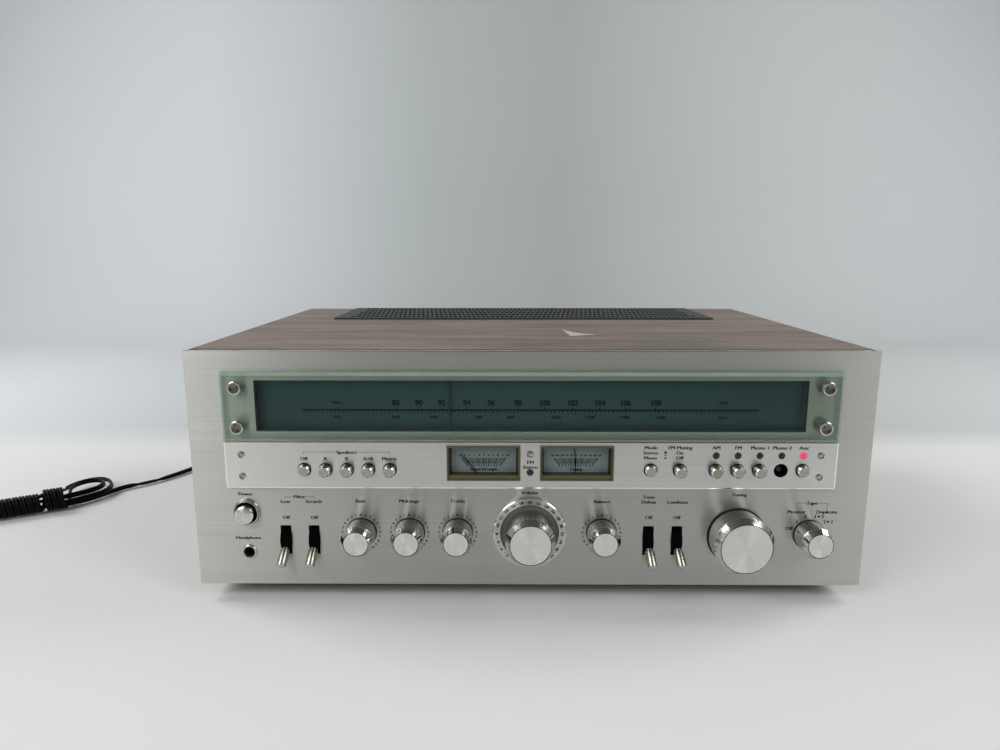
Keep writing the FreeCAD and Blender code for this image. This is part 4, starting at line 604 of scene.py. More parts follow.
# Painted light and shade on the backdrop, from left to right: paler at the ends, greyer at the middle.
BACKDROP_PAINTED_LIGHT = [(along, linear(code)) for along, code in (
    (0.0, "#eff2f6"), (0.2, "#e6e9ed"), (0.42, "#bfc6c5"), (0.55, "#b8bdbc"), (0.8, "#d6dadb"),
    (1.0, "#ebedef"))]
# Each lamp's place and size in metres, and its power in watts.
LAMPS = (("left_front_light", (-1.3, -1.35, 1.15), (1.1, 1.1), 15.5),
         ("right_front_light", (1.4, -1.2, 1.1), (0.9, 0.9), 10.5),
         ("left_side_light", (-1.5, 0.25, 1.25), (0.7, 0.9), 12.0),
         ("right_side_light", (1.5, 0.25, 1.25), (0.7, 0.9), 12.0))
LAMPS_FACE = Vector((0, 0, 0.1))
# How bright the room is, from its left to its right.
ROOM_LEVELS = ((0.0, 0.52), (0.33, 0.33), (0.5, 0.24), (0.72, 0.25), (1.0, 0.36))


class RECEIVER_OT_stage(bpy.types.Operator):
    """Adds the camera, the floor with its backdrop, the lamps and the world"""
    bl_idname = "receiver.stage"
    bl_label = "Stage"

    def execute(self, context):
        scene = context.scene
        scene.view_settings.view_transform = "Standard"
        lens = bpy.data.cameras.new("camera")
        lens.lens = LENS
        lens.sensor_width = SENSOR_WIDTH
        camera = bpy.data.objects.new("camera", lens)
        camera.location = place(*CAMERA_PLACE)
        camera.rotation_euler = (math.pi / 2 - CAMERA_DOWN, 0.0, CAMERA_LEAN)
        scene.collection.objects.link(camera)
        scene.camera = camera
        self.paper(scene)
        self.room(scene)
        for name, spot_at, size, power in LAMPS:
            lamp = bpy.data.lights.new(name, "AREA")
            lamp.shape = "RECTANGLE"
            lamp.size, lamp.size_y = size
            lamp.energy = power
            light = bpy.data.objects.new(name, lamp)
            light.location = spot_at
            light.rotation_euler = (LAMPS_FACE - Vector(spot_at)).to_track_quat("-Z", "Y").to_euler()
            scene.collection.objects.link(light)
        return {"FINISHED"}

    def paper(self, scene):
        """The floor, and the backdrop that rises from it behind the object in one bend."""
        bm = bmesh.new()
        bmesh.ops.create_grid(bm, x_segments=1, y_segments=1, size=FLOOR_REACH)
        bmesh.ops.translate(bm, vec=(0, BACKDROP_DEPTH - FLOOR_REACH, FLOOR_DROP), verts=bm.verts)
        far = [edge for edge in bm.edges if all(corner.co.y > BACKDROP_DEPTH - 0.1 for corner in edge.verts)]
        risen = bmesh.ops.extrude_edge_only(bm, edges=far)["geom"]
        top = [corner for corner in risen if isinstance(corner, bmesh.types.BMVert)]
        bmesh.ops.translate(bm, vec=(0, 0, BACKDROP_HEIGHT), verts=top)
        bmesh.ops.bevel(bm, geom=far, offset=BACKDROP_BEND, segments=16, profile=0.5, affect="EDGES",
                        material=-1)
        mesh = bpy.data.meshes.new("floor")
        bm.to_mesh(mesh)
        bm.free()
        mesh.shade_smooth()
        floor = bpy.data.objects.new("floor", mesh)
        scene.collection.objects.link(floor)
        mesh.materials.append(studio_paper("studio_paper", scene.receiver_colours.floor, BACKDROP_PAINTED_LIGHT))

    def room(self, scene):
        """A room lit from its sides, the left more than the right, and dimmer ahead and overhead."""
        world = bpy.data.worlds.new("studio")
        world.use_nodes = True
        scene.world = world
        tree = world.node_tree
        sky = tree.nodes["Background"]
        sky.inputs["Color"].default_value = linear("#f6f8f8")
        split = add(tree, "SeparateXYZ", links={0: add(tree, "TexCoord").outputs["Generated"]}).outputs
        across = add(tree, "MapRange", {"From Min": -0.9, "From Max": 0.9}, {"Value": split["X"]}).outputs[0]
        level = ramp(tree, across, [(along, (grey, grey, grey, 1.0)) for along, grey in ROOM_LEVELS])
        overhead = add(tree, "MapRange", {"From Min": 0.35, "From Max": 0.85, "To Min": 1.0, "To Max": 0.3},
                       {"Value": split["Z"]}).outputs[0]
        strength = add(tree, "Math", {"operation": "MULTIPLY"}, {0: level, 1: overhead}).outputs[0]
        tree.links.new(strength, sky.inputs["Strength"])


# ---------------------------------------------------------------- cord
# The cord's route in millimetres in the object's own frame, to where it goes under the hank's loops.
CORD_ROUTE = [
    (-195, 186.15, 32), (-195, 212, 32), (-198, 239, 25), (-212, 263, 13), (-239, 277, 5), (-273, 277, 3.0),
    (-309, 261, 3.0), (-338, 231, 3.0), (-360, 196, 3.0), (-377, 160, 3.0), (-388, 129, 3.0),
    (-401, 104, 2.9), (-416, 87, 2.9), (-429, 76, 3.2), (-436, 62, 3.2), (-440, 50, 3.2), (-447, 37, 3.2),
    (-455, 27, 3.8),
]
# Where along X, in metres, the free cord lies flat; elsewhere it stands on its edge.
FLAT_STRETCH = -0.412
HANK_START = Vector((-459.0, 19.0, 9.7))
HANK_ALONG = Vector((-0.85, -0.527, 0)).normalized()
HANK_ACROSS = Vector((0.527, -0.85, 0)).normalized()
WRAP_RADIUS = 8.4
NEAR_WRAP_RADIUS = 10.0
WRAP_PITCH = 5.6
TURN_POINTS = 14
FLOOR_CLEARANCE = 2.0
PLUG_PLACE = (128, 0, 8)
# The rest of the cord goes to and fro through the hank, with loops at both ends. A run that starts with
# True is counted in the hank: along it, across it and above the floor. The others are in the object's frame.
HANK_RUNS = (
    (True, (8, -1, 5.2), (40, -3, 5.5), (75, -3, 5.5), (97, -8, 4.5), (108, -12, 3.5), (119, -10.5, 3),
     (125, -1, 3), (120, 9, 3), (109, 11.5, 3.5), (97, 7, 5), (75, 3, 6.5), (40, 3, 6.5), (8, 3, 6.8)),
    (False, (-449, 27, 7.5), (-439, 38, 8), (-434, 53, 8), (-439, 69, 8), (-450, 84, 7.5), (-464, 92, 7),
     (-477, 84, 7), (-482, 67, 7.5), (-479, 47, 9), (-475.5, 31, 13), (-475.5, 17, 17), (-481.5, 6.5, 14.5)),
    (True, (46, 0, 13), (75, 0, 13), (97, 6, 13), (108, 11, 13), (119, 10, 13), (125, 0.5, 13),
     (120, -9.5, 13), (108, -11, 12.5), (97, -7, 11), (75, -4.3, 10), (40, -4.3, 10), (8, -3, 11)),
    (False, (-454, 28, 12), (-446, 40, 11.5), (-442, 55, 11), (-447, 69, 11), (-458, 77, 10.5),
     (-469, 72, 10.5), (-473, 58, 11), (-469, 43, 10.5), (-462, 32, 7), (-459.5, 25, 3.5)),
)
TAIL = ((77.5, -8.0, 9.5), (83, -7.0, 6.5), (93, -4.0, 6), (105, -1, 7), (117, 0, 8), PLUG_PLACE)


def in_hank(along, across, height):
    """A point in the wrapped bundle: along it, across it and above the floor, in millimetres."""
    point = HANK_START + HANK_ALONG * along + HANK_ACROSS * across
    return (point.x, point.y, height)


def wrap(first, turns, start_angle, radius):
    """Turns of the cord round the bundle, which lie on the floor."""
    points = []
    for step in range(int(turns * TURN_POINTS) + 1):
        angle = math.radians(start_angle) + 2 * math.pi * step / TURN_POINTS
        height = radius + FLOOR_CLEARANCE + radius * math.sin(angle)
        points.append(in_hank(first + WRAP_PITCH * step / TURN_POINTS, radius * math.cos(angle), height))
    return points


def hank_route():
    """The rest of the cord: runs and loops, the turns that bind them, and the tail to the plug."""
    runs = [in_hank(*point) if counted_in_hank else point
            for counted_in_hank, *points in HANK_RUNS for point in points]
    turns_near = wrap(1.0, 2.9, -90, NEAR_WRAP_RADIUS)
    turns_far = wrap(21.5, 9.5, 280, WRAP_RADIUS)
    return runs + turns_near + turns_far + [in_hank(*point) for point in TAIL]


def spline_points(points):
    """Points along the smooth NURBS line that has these control points, all in metres."""
    curve = bpy.data.curves.new("route", "CURVE")
    curve.dimensions = "3D"
    curve.resolution_u = 5
    spline = curve.splines.new("NURBS")
    spline.points.add(len(points) - 1)
    for point, (x, y, z) in zip(spline.points, points):
        point.co = (x * MM, y * MM, z * MM, 1.0)
    spline.order_u = 3
    spline.use_endpoint_u = True
    route = bpy.data.objects.new("route", curve)
    mesh = bpy.data.meshes.new_from_object(route)
    line = [vertex.co.copy() for vertex in mesh.vertices]
    bpy.data.objects.remove(route)
    bpy.data.curves.remove(curve)
    bpy.data.meshes.remove(mesh)
    return line


def two_core_section(width, thickness):
    """Outline of a flat two-core lead: two round cores side by side with a groove between."""
    radius = thickness / 2
    reach = width / 2 - radius
    outline = []
    for side in (0, 1):
        for step in range(12):
            angle = math.radians(-158 + 316 * step / 11) + side * math.pi
            outline.append((reach * (1 - 2 * side) + radius * math.cos(angle), radius * math.sin(angle)))
    return outline


class RECEIVER_OT_cord(bpy.types.Operator):
    """Adds the mains cord with its wrapped hank, the strain relief and the plug"""
    bl_idname = "receiver.cord"
    bl_label = "Mains Cord"

    def execute(self, context):
        sizes = context.scene.receiver_sizes
        line = spline_points(CORD_ROUTE + hank_route())
        cord = self.sheath(line, two_core_section(sizes.cord_width, sizes.cord_thickness))
        self.relief()
        plug = self.plug()
        return {"FINISHED"}

    def sheath(self, line, outline):
        """Carries the outline along the line: on its edge where it lies free, and flat in the hank."""
        wrap_start = HANK_START * MM
        bm = bmesh.new()
        rings = []
        for index, point in enumerate(line):
            ahead = line[min(index + 1, len(line) - 1)] - line[max(index - 1, 0)]
            ahead.normalize()
            offset = point - wrap_start
            along = offset.dot(HANK_ALONG)
            outwards = offset - HANK_ALONG * along
            on_edge = min(1.0, max(0.0, abs(point.x - FLAT_STRETCH) / 0.008 - 0.6)) if along < 0 else 0.0
            if along > 0 and outwards.length > (WRAP_RADIUS - 1.2) * MM:
                side = HANK_ALONG - ahead * HANK_ALONG.dot(ahead)
            else:
                side = ahead.cross(Vector((0, 0, 1)))
                side.rotate(Matrix.Rotation(on_edge * math.radians(70), 3, ahead))
            side.normalize()
            up = side.cross(ahead)
            rings.append([bm.verts.new(point + side * x + up * z) for x, z in outline])
        count = len(outline)
        for near, far in zip(rings, rings[1:]):
            for step in range(count):
                following = (step + 1) % count
                bm.faces.new((near[step], near[following], far[following], far[step]))
        for ring in (rings[0], rings[-1]):
            bm.faces.new(ring)
        return piece(bm, "mains_cord", ["cord"], replaces=["power_cord", "cord_hank"],
                     sharp=70)

    def relief(self):
        """The ribbed sleeve, with its collar against the rear panel."""
        low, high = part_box("strain_relief")
        middle = (low + high) / 2
        root = Vector((middle.x, low.y, middle.z))
        reach = (high.y - low.y) / MM
        outside = reach - (high.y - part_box("rear_panel")[1].y) / MM
        profile = [(0, 0), (5.5, 0), (6, 0.6), (6, outside), (8, outside), (8, outside + 1.8),
                   (7.4, outside + 2.5)]
        ribs = 6
        rib = (reach - outside - 2.5) / ribs
        for step in range(ribs):
            along = outside + 2.5 + rib * step
            radius = 6.2 - 2.1 * step / ribs
            profile += [(radius, along + 0.2), (radius - 0.1, along + rib * 0.6),
                        (radius - 1.1, along + rib * 0.65), (radius - 1.2, along + rib - 0.1)]
        profile += [(3.9, reach - 0.5), (3.4, reach), (0, reach)]
        bm = bmesh.new()
        turned(bm, root, profile, steps=40)
        piece(bm, "strain_relief_sleeve", ["foot"], replaces=["strain_relief"])

    def plug(self):
        """The moulded plug with its ribbed neck and two blades, in metres from where the cord enters it."""
        angle = math.atan2(HANK_ALONG.y, HANK_ALONG.x)
        laid = Matrix.Translation(Vector(in_hank(*PLUG_PLACE)) * MM) @ Matrix.Rotation(angle, 4, "Z")
        bm = bmesh.new()
        block(bm, Vector((0.008, -0.0115, -0.008)), Vector((0.030, 0.0115, 0.008)), 2.2, 4, matrix=laid)
        for step in range(5):
            start = 0.0002 + 0.0017 * step
            half = 0.0052 + 0.0006 * step
            block(bm, Vector((start, -half, -half * 0.75)), Vector((start + 0.0012, half, half * 0.75)), 0.4,
                  2, matrix=laid)
        block(bm, Vector((0.0002, -0.004, -0.003)), Vector((0.010, 0.004, 0.003)), 0.5, 2, matrix=laid)
        for side in (-1, 1):
            low = Vector((0.0295, side * 0.00635 - 0.00075, -0.00315))
            block(bm, low, low + Vector((0.0174, 0.0015, 0.0063)), 0.4, 2, index=1, matrix=laid)
        return piece(bm, "two_blade_plug", ["black", "brass"], replaces=["mains_plug"])


# ---------------------------------------------------------------- cabinet and rear
BARE_FINISHES = {
    "cabinet": "wood", "cabinet_screws": "zinc", "top_grille": "grille", "feet": "foot",
    # The tray's black is partly its own paint and partly painted shade that deepens the gap under the front.
    "chassis_tray": "black_steel", "rear_panel": "black_steel", "phono_jacks": "brass",
    "speaker_terminals": "black", "mains_outlets": "black", "antenna_bracket": "black",
    "rod_antenna": "black", "circuit_boards": "laminate", "power_supply": "core", "heatsink": "anodised",
    "tuning_capacitor": "zinc", "dial_drive": "zinc", "dial_drum": "black", "lever_switches": "zinc",
    "button_switches": "black", "rotary_controls": "zinc", "selector_stem_4": "black",
    "meter_cases": "black",
}
# The chip's outline in the top, across and behind the panel's face.
CHIP = ((31, 126), (33, 110), (35, 80), (42, 85), (57, 91), (46, 98), (38, 112))
# The rear's words: across, above the panel's lower edge, and how tall a capital is.
SOCKET_NAMES = ("Phono 1", "Phono 2", "Aux", "Rec 1", "Play 1", "Rec 2", "Play 2")
SOCKET_PITCH = 18
REAR_WORDS = (("L", 196, 45, 3.2), ("R", 196, 27, 3.2), ("Speakers", -32, 66, 3.2), ("A", -6, 58, 3.2),
              ("B", -49, 58, 3.2), ("Antenna", 148, 122, 3.2), ("FM 300", 169, 115, 2.2),
              ("FM 75", 148, 115, 2.2), ("AM", 132, 115, 2.2), ("Ground", 117, 115, 2.2),
              ("Mains Out", -125, 45, 2.8))


class RECEIVER_OT_cabinet(bpy.types.Operator):
    """Finishes the cabinet, its grille, feet and screws, and everything on the rear and inside"""
    bl_idname = "receiver.cabinet"
    bl_label = "Cabinet"

    def execute(self, context):
        for node, finish in BARE_FINISHES.items():
            dress(node, finish)
        low, high = span("cabinet")
        # Torn veneer: a small pale chip in the top, a little behind the front edge.
        bm = bmesh.new()
        corners = [bm.verts.new(place(x, depth, high.z + 0.05)) for x, depth in CHIP]
        bmesh.ops.contextual_create(bm, geom=corners)
        piece(bm, "veneer_chip", ["bare_wood"])
        # A black strip along the front of the top: painted shadow in the gap behind the panel.
        bm = bmesh.new()
        block(bm, place(low.x + 0.3, low.y + 0.1, high.z - 0.5),
              place(high.x - 0.3, low.y + 2.2, high.z + 0.04))
        piece(bm, "veneer_edge_shadow", ["hole"])
        # White lettering over the sockets and terminals.
        items = [(text, 184 - SOCKET_PITCH * column, 57, 2.2, 0) for column, text in enumerate(SOCKET_NAMES)]
        items += [item + (0,) for item in REAR_WORDS]
        bm = bmesh.new()
        words(bm, items, span("rear_panel")[1].y + 0.04, behind=True)
        piece(bm, "rear_print", ["white_ink"], flat=True)
        return {"FINISHED"}


# ---------------------------------------------------------------- front plate and glass
GLASS_BEVEL = 2.2
STRIP_CHAMFER = 1.0
# How far each glass screw's two holes are turned, in degrees.
GLASS_SCREW_TURNS = (-18, 70, 20, 35)


class RECEIVER_OT_front(bpy.types.Operator):
    """Finishes the panel, the strip and the glass, and adds their screws"""
    bl_idname = "receiver.front"
    bl_label = "Front"

    def execute(self, context):
        dress("front_panel", "panel")
        dress("control_strip", "strip")
        low, high = span("dial_glass")
        # The pane stands a hair off the panel, so that the two faces don't fight.
        bm = bmesh.new()
        block(bm, place(low.x, low.y, low.z), place(high.x, high.y - 0.05, high.z))
        rim = [edge for edge in bm.edges if all(local(corner.co).y < low.y + 0.1 for corner in edge.verts)]
        bmesh.ops.bevel(bm, geom=rim, offset=GLASS_BEVEL * MM, segments=1, profile=0.5, affect="EDGES",
                        material=-1)
        bm.normal_update()
        for face in bm.faces:
            face.material_index = 0 if face.normal.y < -0.9 else 1 if face.normal.y > 0.9 else 2
        piece(bm, "dial_pane", ["glass", "glass_back", "glass_edge"], replaces=["dial_glass"],
              sharp=10)

        strip_low, strip_high = span("control_strip")
        self.lip(strip_low, strip_high)
        bm = bmesh.new()
        # A glass screw has a dished head with two holes for a pin spanner.
        head = low.y - 1.8
        dish = [(0, head + 0.35), (2.6, head + 0.25), (3.7, head + 0.04)]
        collar = [(3.7, head + 0.04), (3.9, head), (4.3, head), (4.75, head + 0.3), (4.9, head + 0.8),
                  (4.9, low.y), (2.4, low.y), (2.4, 0), (0, 0)]
        pin_hole = [(0, head + 0.2), (0.85, head + 0.2), (0.85, head + 0.8), (0, head + 0.8)]
        for (x, height), angle in zip(glass_screws(), GLASS_SCREW_TURNS):
            turned(bm, place(x, 0, height), dish, steps=48, index=3)
            turned(bm, place(x, 0, height), collar, steps=48)
            for side in (-1, 1):
                across, up = around(x, height, side * 2.5, angle + 90)
                turned(bm, place(across, 0, up), pin_hole, steps=16, index=1)
        seat = strip_low.y + 2.2
        sunk_head = [(0, seat - 0.85), (1.2, seat - 0.8), (1.9, seat - 0.55), (2.2, seat), (0, seat)]
        for x, height in strip_screws():
            turned(bm, place(x, 0, height), sunk_head, steps=32, index=2)
        piece(bm, "front_screw_heads", ["chrome", "hole", "screw_steel", "dull_steel"],
              replaces=["front_screws"])
        return {"FINISHED"}

    def lip(self, low, high):
        """The bright lip cut along the strip's lower edge and up its two ends."""
        bm = bmesh.new()
        chains = []
        for inset, depth in ((STRIP_CHAMFER, low.y - 0.03), (0.0, low.y + 0.3), (0.0, low.y + STRIP_CHAMFER)):
            corners = [bm.verts.new(place(x, depth, height)) for x, height in (
                (low.x + inset, high.z), (low.x + inset, low.z + inset),
                (high.x - inset, low.z + inset), (high.x - inset, high.z))]
            chains.append([bm.edges.new(pair) for pair in zip(corners, corners[1:])])
        bridge(bm, chains)
        bmesh.ops.recalc_face_normals(bm, faces=bm.faces)
        middle = place(0, 0, (low.z + high.z) / 2)
        for face in bm.faces:
            if face.normal.dot(face.calc_center_median() - middle) < 0:
                face.normal_flip()
        piece(bm, "strip_lip", ["lip"], flat=True, sharp=10)


def bridge(bm, chains):
    """Fills between each chain of edges and the next, edge by edge."""
    for near, far in zip(chains, chains[1:]):
        for pair in zip(near, far):
            bmesh.ops.bridge_loops(bm, edges=list(pair))


def glass_screws():
    """Where the glass is held, top left, lower left, top right, lower right."""
    low, high = span("dial_glass")
    middle = (low.z + high.z) / 2
    x = high.x - 11.3
    return [(side * x, middle + step) for side in (-1, 1) for step in (14.3, -14.3)]


def strip_screws():
    """Where the strip is held: two at each end, and one between the meters."""
    low, high = span("control_strip")
    middle = (low.z + high.z) / 2
    x = high.x - 12.2
    return [(side * x, middle + step) for side in (-1, 1) for step in (-8.0, 8.0)] + [(0.0, high.z - 8.4)]


# ---------------------------------------------------------------- dial
UPPER_SCALE = ((88, -96.2), (90, -79.7), (92, -63.2), (94, -45.3), (96, -27.8), (98, -8.8), (100, 10.5),
               (102, 30.5), (104, 49.8), (106, 68.3), (108, 89.7))
LOWER_SCALE = ((540, -96.5), (600, -69.1), (700, -36.8), (800, -13.8), (1000, 18.5), (1200, 42.9),
               (1400, 67.9), (1600, 93.7))
# The scales' places are counted on the panel's face, and are spread a little for the plate behind it.
SCALE_SPREAD = 1.008
SCALE_LINE = 131.6
SCALE_END = 165
SCALE_TICKS = 109
# The window in the panel, from its lower left to its upper right, and its lining's thickness.
WINDOW = ((-196.6, 117.0), (196.6, 155.2))
LINING = 1.0


class RECEIVER_OT_dial(bpy.types.Operator):
    """Finishes the scale plate and its pointer, and prints the scales"""
    bl_idname = "receiver.dial"
    bl_label = "Dial"

    def execute(self, context):
        dress("dial_plate", "dial")
        dress("dial_pointer", "pointer")
        depth = front("dial_plate") - 0.05
        above, below = SCALE_LINE + 5.4, SCALE_LINE - 5.3
        tall = context.scene.receiver_sizes.dial_number_height / MM
        upper = [(str(number), x * SCALE_SPREAD) for number, x in UPPER_SCALE]
        lower = [(str(number), x * SCALE_SPREAD) for number, x in LOWER_SCALE]
        bm = bmesh.new()
        stroke(bm, (-SCALE_END, SCALE_LINE), (SCALE_END, SCALE_LINE), 1.1, depth)
        for number, x in upper:
            stroke(bm, (x, SCALE_LINE), (x, SCALE_LINE + 2.1), 0.7, depth)
        words(bm, [(number, x, above, tall, 0) for number, x in upper], depth, weight=0.065, stretch=0.84)
        words(bm, [(number, x, below, 2.3, 0) for number, x in lower], depth, weight=0.08)
        words(bm, [(text, side * 139.5, height, 2.2, 0) for side in (-1, 1)
                   for text, height in (("MHz", above), ("kHz", below))], depth, weight=0.05)
        for step in range(SCALE_TICKS):
            x = 3.0 * (step - SCALE_TICKS // 2)
            tick = 2.6 if step % 5 == 0 else 2.0
            stroke(bm, (x, SCALE_LINE), (x, SCALE_LINE - tick), 0.7, depth)
        piece(bm, "dial_scale_print", ["dial_ink"], flat=True)

        low, high = (place(x, depth, height)
                     for (x, height), depth in zip(WINDOW, (4.0, front("dial_plate"))))
        bm = bmesh.new()
        # Left, right, top and bottom; the right and the bottom are painted lighter, as painted light, and the
        # left and the top darker, as painted shade.
        for axis, outwards, index in ((0, -1, 0), (0, 1, 1), (2, 1, 0), (2, -1, 1)):
            start, end = low.copy(), high.copy()
            if outwards < 0:
                start[axis], end[axis] = low[axis] - LINING * MM, low[axis]
            else:
                start[axis], end[axis] = high[axis], high[axis] + LINING * MM
            block(bm, start, end, index=index)
        piece(bm, "window_lining", ["lining", "pale_lining"])
        return {"FINISHED"}


# ---------------------------------------------------------------- meters
METER_SIDES = (-1, 1)
METER_ACROSS = 33.4
# Each opening in a meter's frame: its half width, its lower and its upper edge.
FRAME_OUTSIDE = (26.4, 82.2, 107.7)
FRAME_OPENING = (24.8, 83.7, 107.0)
# The case's mouth is lower than the frame's opening, so a ledge joins the two; it takes the walls' painted
# shade.
FRAME_LEDGE = (24.7, 86.1, 106.8)
CASE_MOUTH = (24.2, 86.4, 106.1)
METER_FACE_DEPTH = 3.42
# Ticks point at the needle's pivot, between two level lines.
METER_PIVOT = 75.4
TICK_FOOT = 90.7
TICK_LINE = 97.1
TICK_LIMIT = 36.5
TICK_COUNT = 25
# Turned trim, as the finish's place in its list and the profile in radii and depths.
POWER_BEZEL = (
    (1, [(7.0, 4.0), (7.0, -0.6), (7.5, -1.5)]),
    (0, [(7.5, -1.5), (8.4, -3.3), (8.6, -3.5), (9.0, -3.4), (9.3, -3.0), (10.1, -1.0), (10.3, -0.6),
         (10.3, 0), (7.4, 0), (7.4, 4.0), (7.0, 4.0)]))
VOLUME_RING = (
    (1, [(21.2, 0), (21.2, -1.6), (21.6, -2.1)]), (0, [(21.6, -2.1), (26.1, -2.2)]),
    (1, [(26.1, -2.2), (26.6, -1.9), (27.0, -1.2), (27.0, 0)]),
    # The last part is a dark dish from the knob's foot to the ring: painted shade in the gap between them.
    (2, [(4.5, -0.1), (18.6, -0.15), (21.2, -0.7)]))
METER_PRINTS = ((range(0, 11), "Signal Strength"), ((50, 40, 30, 20, 10, 0, 10, 20, 30, 40, 50), "Tuning"))


class RECEIVER_OT_meters(bpy.types.Operator):
    """Adds the meters' frames, faces and needles, the power bezel and the volume ring"""
    bl_idname = "receiver.meters"
    bl_label = "Meters and Trim"

    def execute(self, context):
        bm = bmesh.new()
        for side in METER_SIDES:
            self.frame(bm, side * METER_ACROSS, front("control_strip"))
        piece(bm, "meter_frames", ["olive", "dark_olive"], replaces=["front_trim"],
              sharp=25)
        bm = bmesh.new()
        for side, (numbers, title) in zip(METER_SIDES, METER_PRINTS):
            self.face(bm, side * METER_ACROSS, numbers, title)
        piece(bm, "meter_faces", ["meter_face", "meter_ink"], flat=True)
        for node in ("signal_needle", "tuning_needle"):
            dress(node, "meter_ink")

        bm = bmesh.new()
        turned_all(bm, "power_button", POWER_BEZEL)
        piece(bm, "power_bezel", ["chrome", "black"])
        bm = bmesh.new()
        turned_all(bm, "volume_knob", VOLUME_RING, 128)
        spun = turned_aluminium("spun_ring_aluminium", "volume_knob", linear("#cfcfca"), 0.4)
        piece(bm, "volume_scale_ring", [spun, "cut_edge", "ring_well"], sharp=20)
        return {"FINISHED"}

    def frame(self, bm, middle, strip):
        """A picture-frame border whose front slopes in to the opening."""
        rows = [(FRAME_OUTSIDE, inset, depth) for inset, depth in (
            (0.0, strip), (0.0, strip - 1.4), (0.35, strip - 1.8), (0.9, strip - 1.8))]
        rows += [(FRAME_OPENING, 0.0, strip - 0.4), (FRAME_LEDGE, 0.0, strip - 0.05), (CASE_MOUTH, 0.0, 3.4)]
        before = set(bm.faces)
        loops = []
        for (half, low, high), inset, depth in rows:
            left, right = middle - half + inset, middle + half - inset
            corners = [bm.verts.new(place(x, depth, z)) for x, z in (
                (left, low + inset), (right, low + inset), (right, high - inset), (left, high - inset))]
            loops.append([bm.edges.new((corners[i], corners[(i + 1) % 4])) for i in range(4)])
        bridge(bm, loops)
        # The walls of the opening, behind the frame's front, are painted darker: painted shade inside the
        # recess.
        half, low, high = FRAME_OPENING
        for face in set(bm.faces) - before:
            point = local(face.calc_center_median())
            inside = abs(point.x - middle) < half + 0.1 and low - 0.1 < point.z < high + 0.1
            face.material_index = 1 if inside and point.y > strip - 0.2 else 0

    def face(self, bm, middle, numbers, title):
        """The printed face: a fan of ticks under a row of numbers, and the meter's name."""
        block(bm, place(middle - 23.4, METER_FACE_DEPTH, 78.2),
              place(middle + 23.4, METER_FACE_DEPTH + 0.07, 106.0))
        ink = METER_FACE_DEPTH - 0.04
        for step in range(TICK_COUNT):
            angle = -TICK_LIMIT + 2 * TICK_LIMIT * step / (TICK_COUNT - 1)
            flat = math.cos(math.radians(angle))
            foot = TICK_FOOT if step % 2 == 0 else TICK_FOOT + 2.2
            start, end = (around(middle, METER_PIVOT, (height - METER_PIVOT) / flat, angle)
                          for height in (foot, TICK_LINE))
            stroke(bm, start, end, 0.7 if step % 4 == 0 else 0.5, ink, index=1)
        words(bm, [(str(value), middle - 17 + 3.4 * place_in, 99.1, 1.6, 0)
                   for place_in, value in enumerate(numbers)], ink, 1)
        words(bm, [(title, middle, 88.7, 2.1, 0)], ink, 1, weight=0.06)


# ---------------------------------------------------------------- buttons
STRIP_BUTTONS = SPEAKER_BUTTONS + SELECTOR_BUTTONS + ["mode_button", "muting_button"]
# Each cap's edge as radii and how far back they lie, the cap's length, and its steps round.
STRIP_CAP = (((3.35, 0), (3.45, 0.08), (4.25, 0.7), (4.4, 0.95)), 11.5, 40)
POWER_CAP = (((5.6, 0), (5.75, 0.1), (6.5, 0.4), (6.7, 0.6)), 15.7, 64)
STEM_RADIUS = 1.8
SELECTOR_LAMP_ROW = 101.0
STEREO_LAMP = (0.0, 88.2)


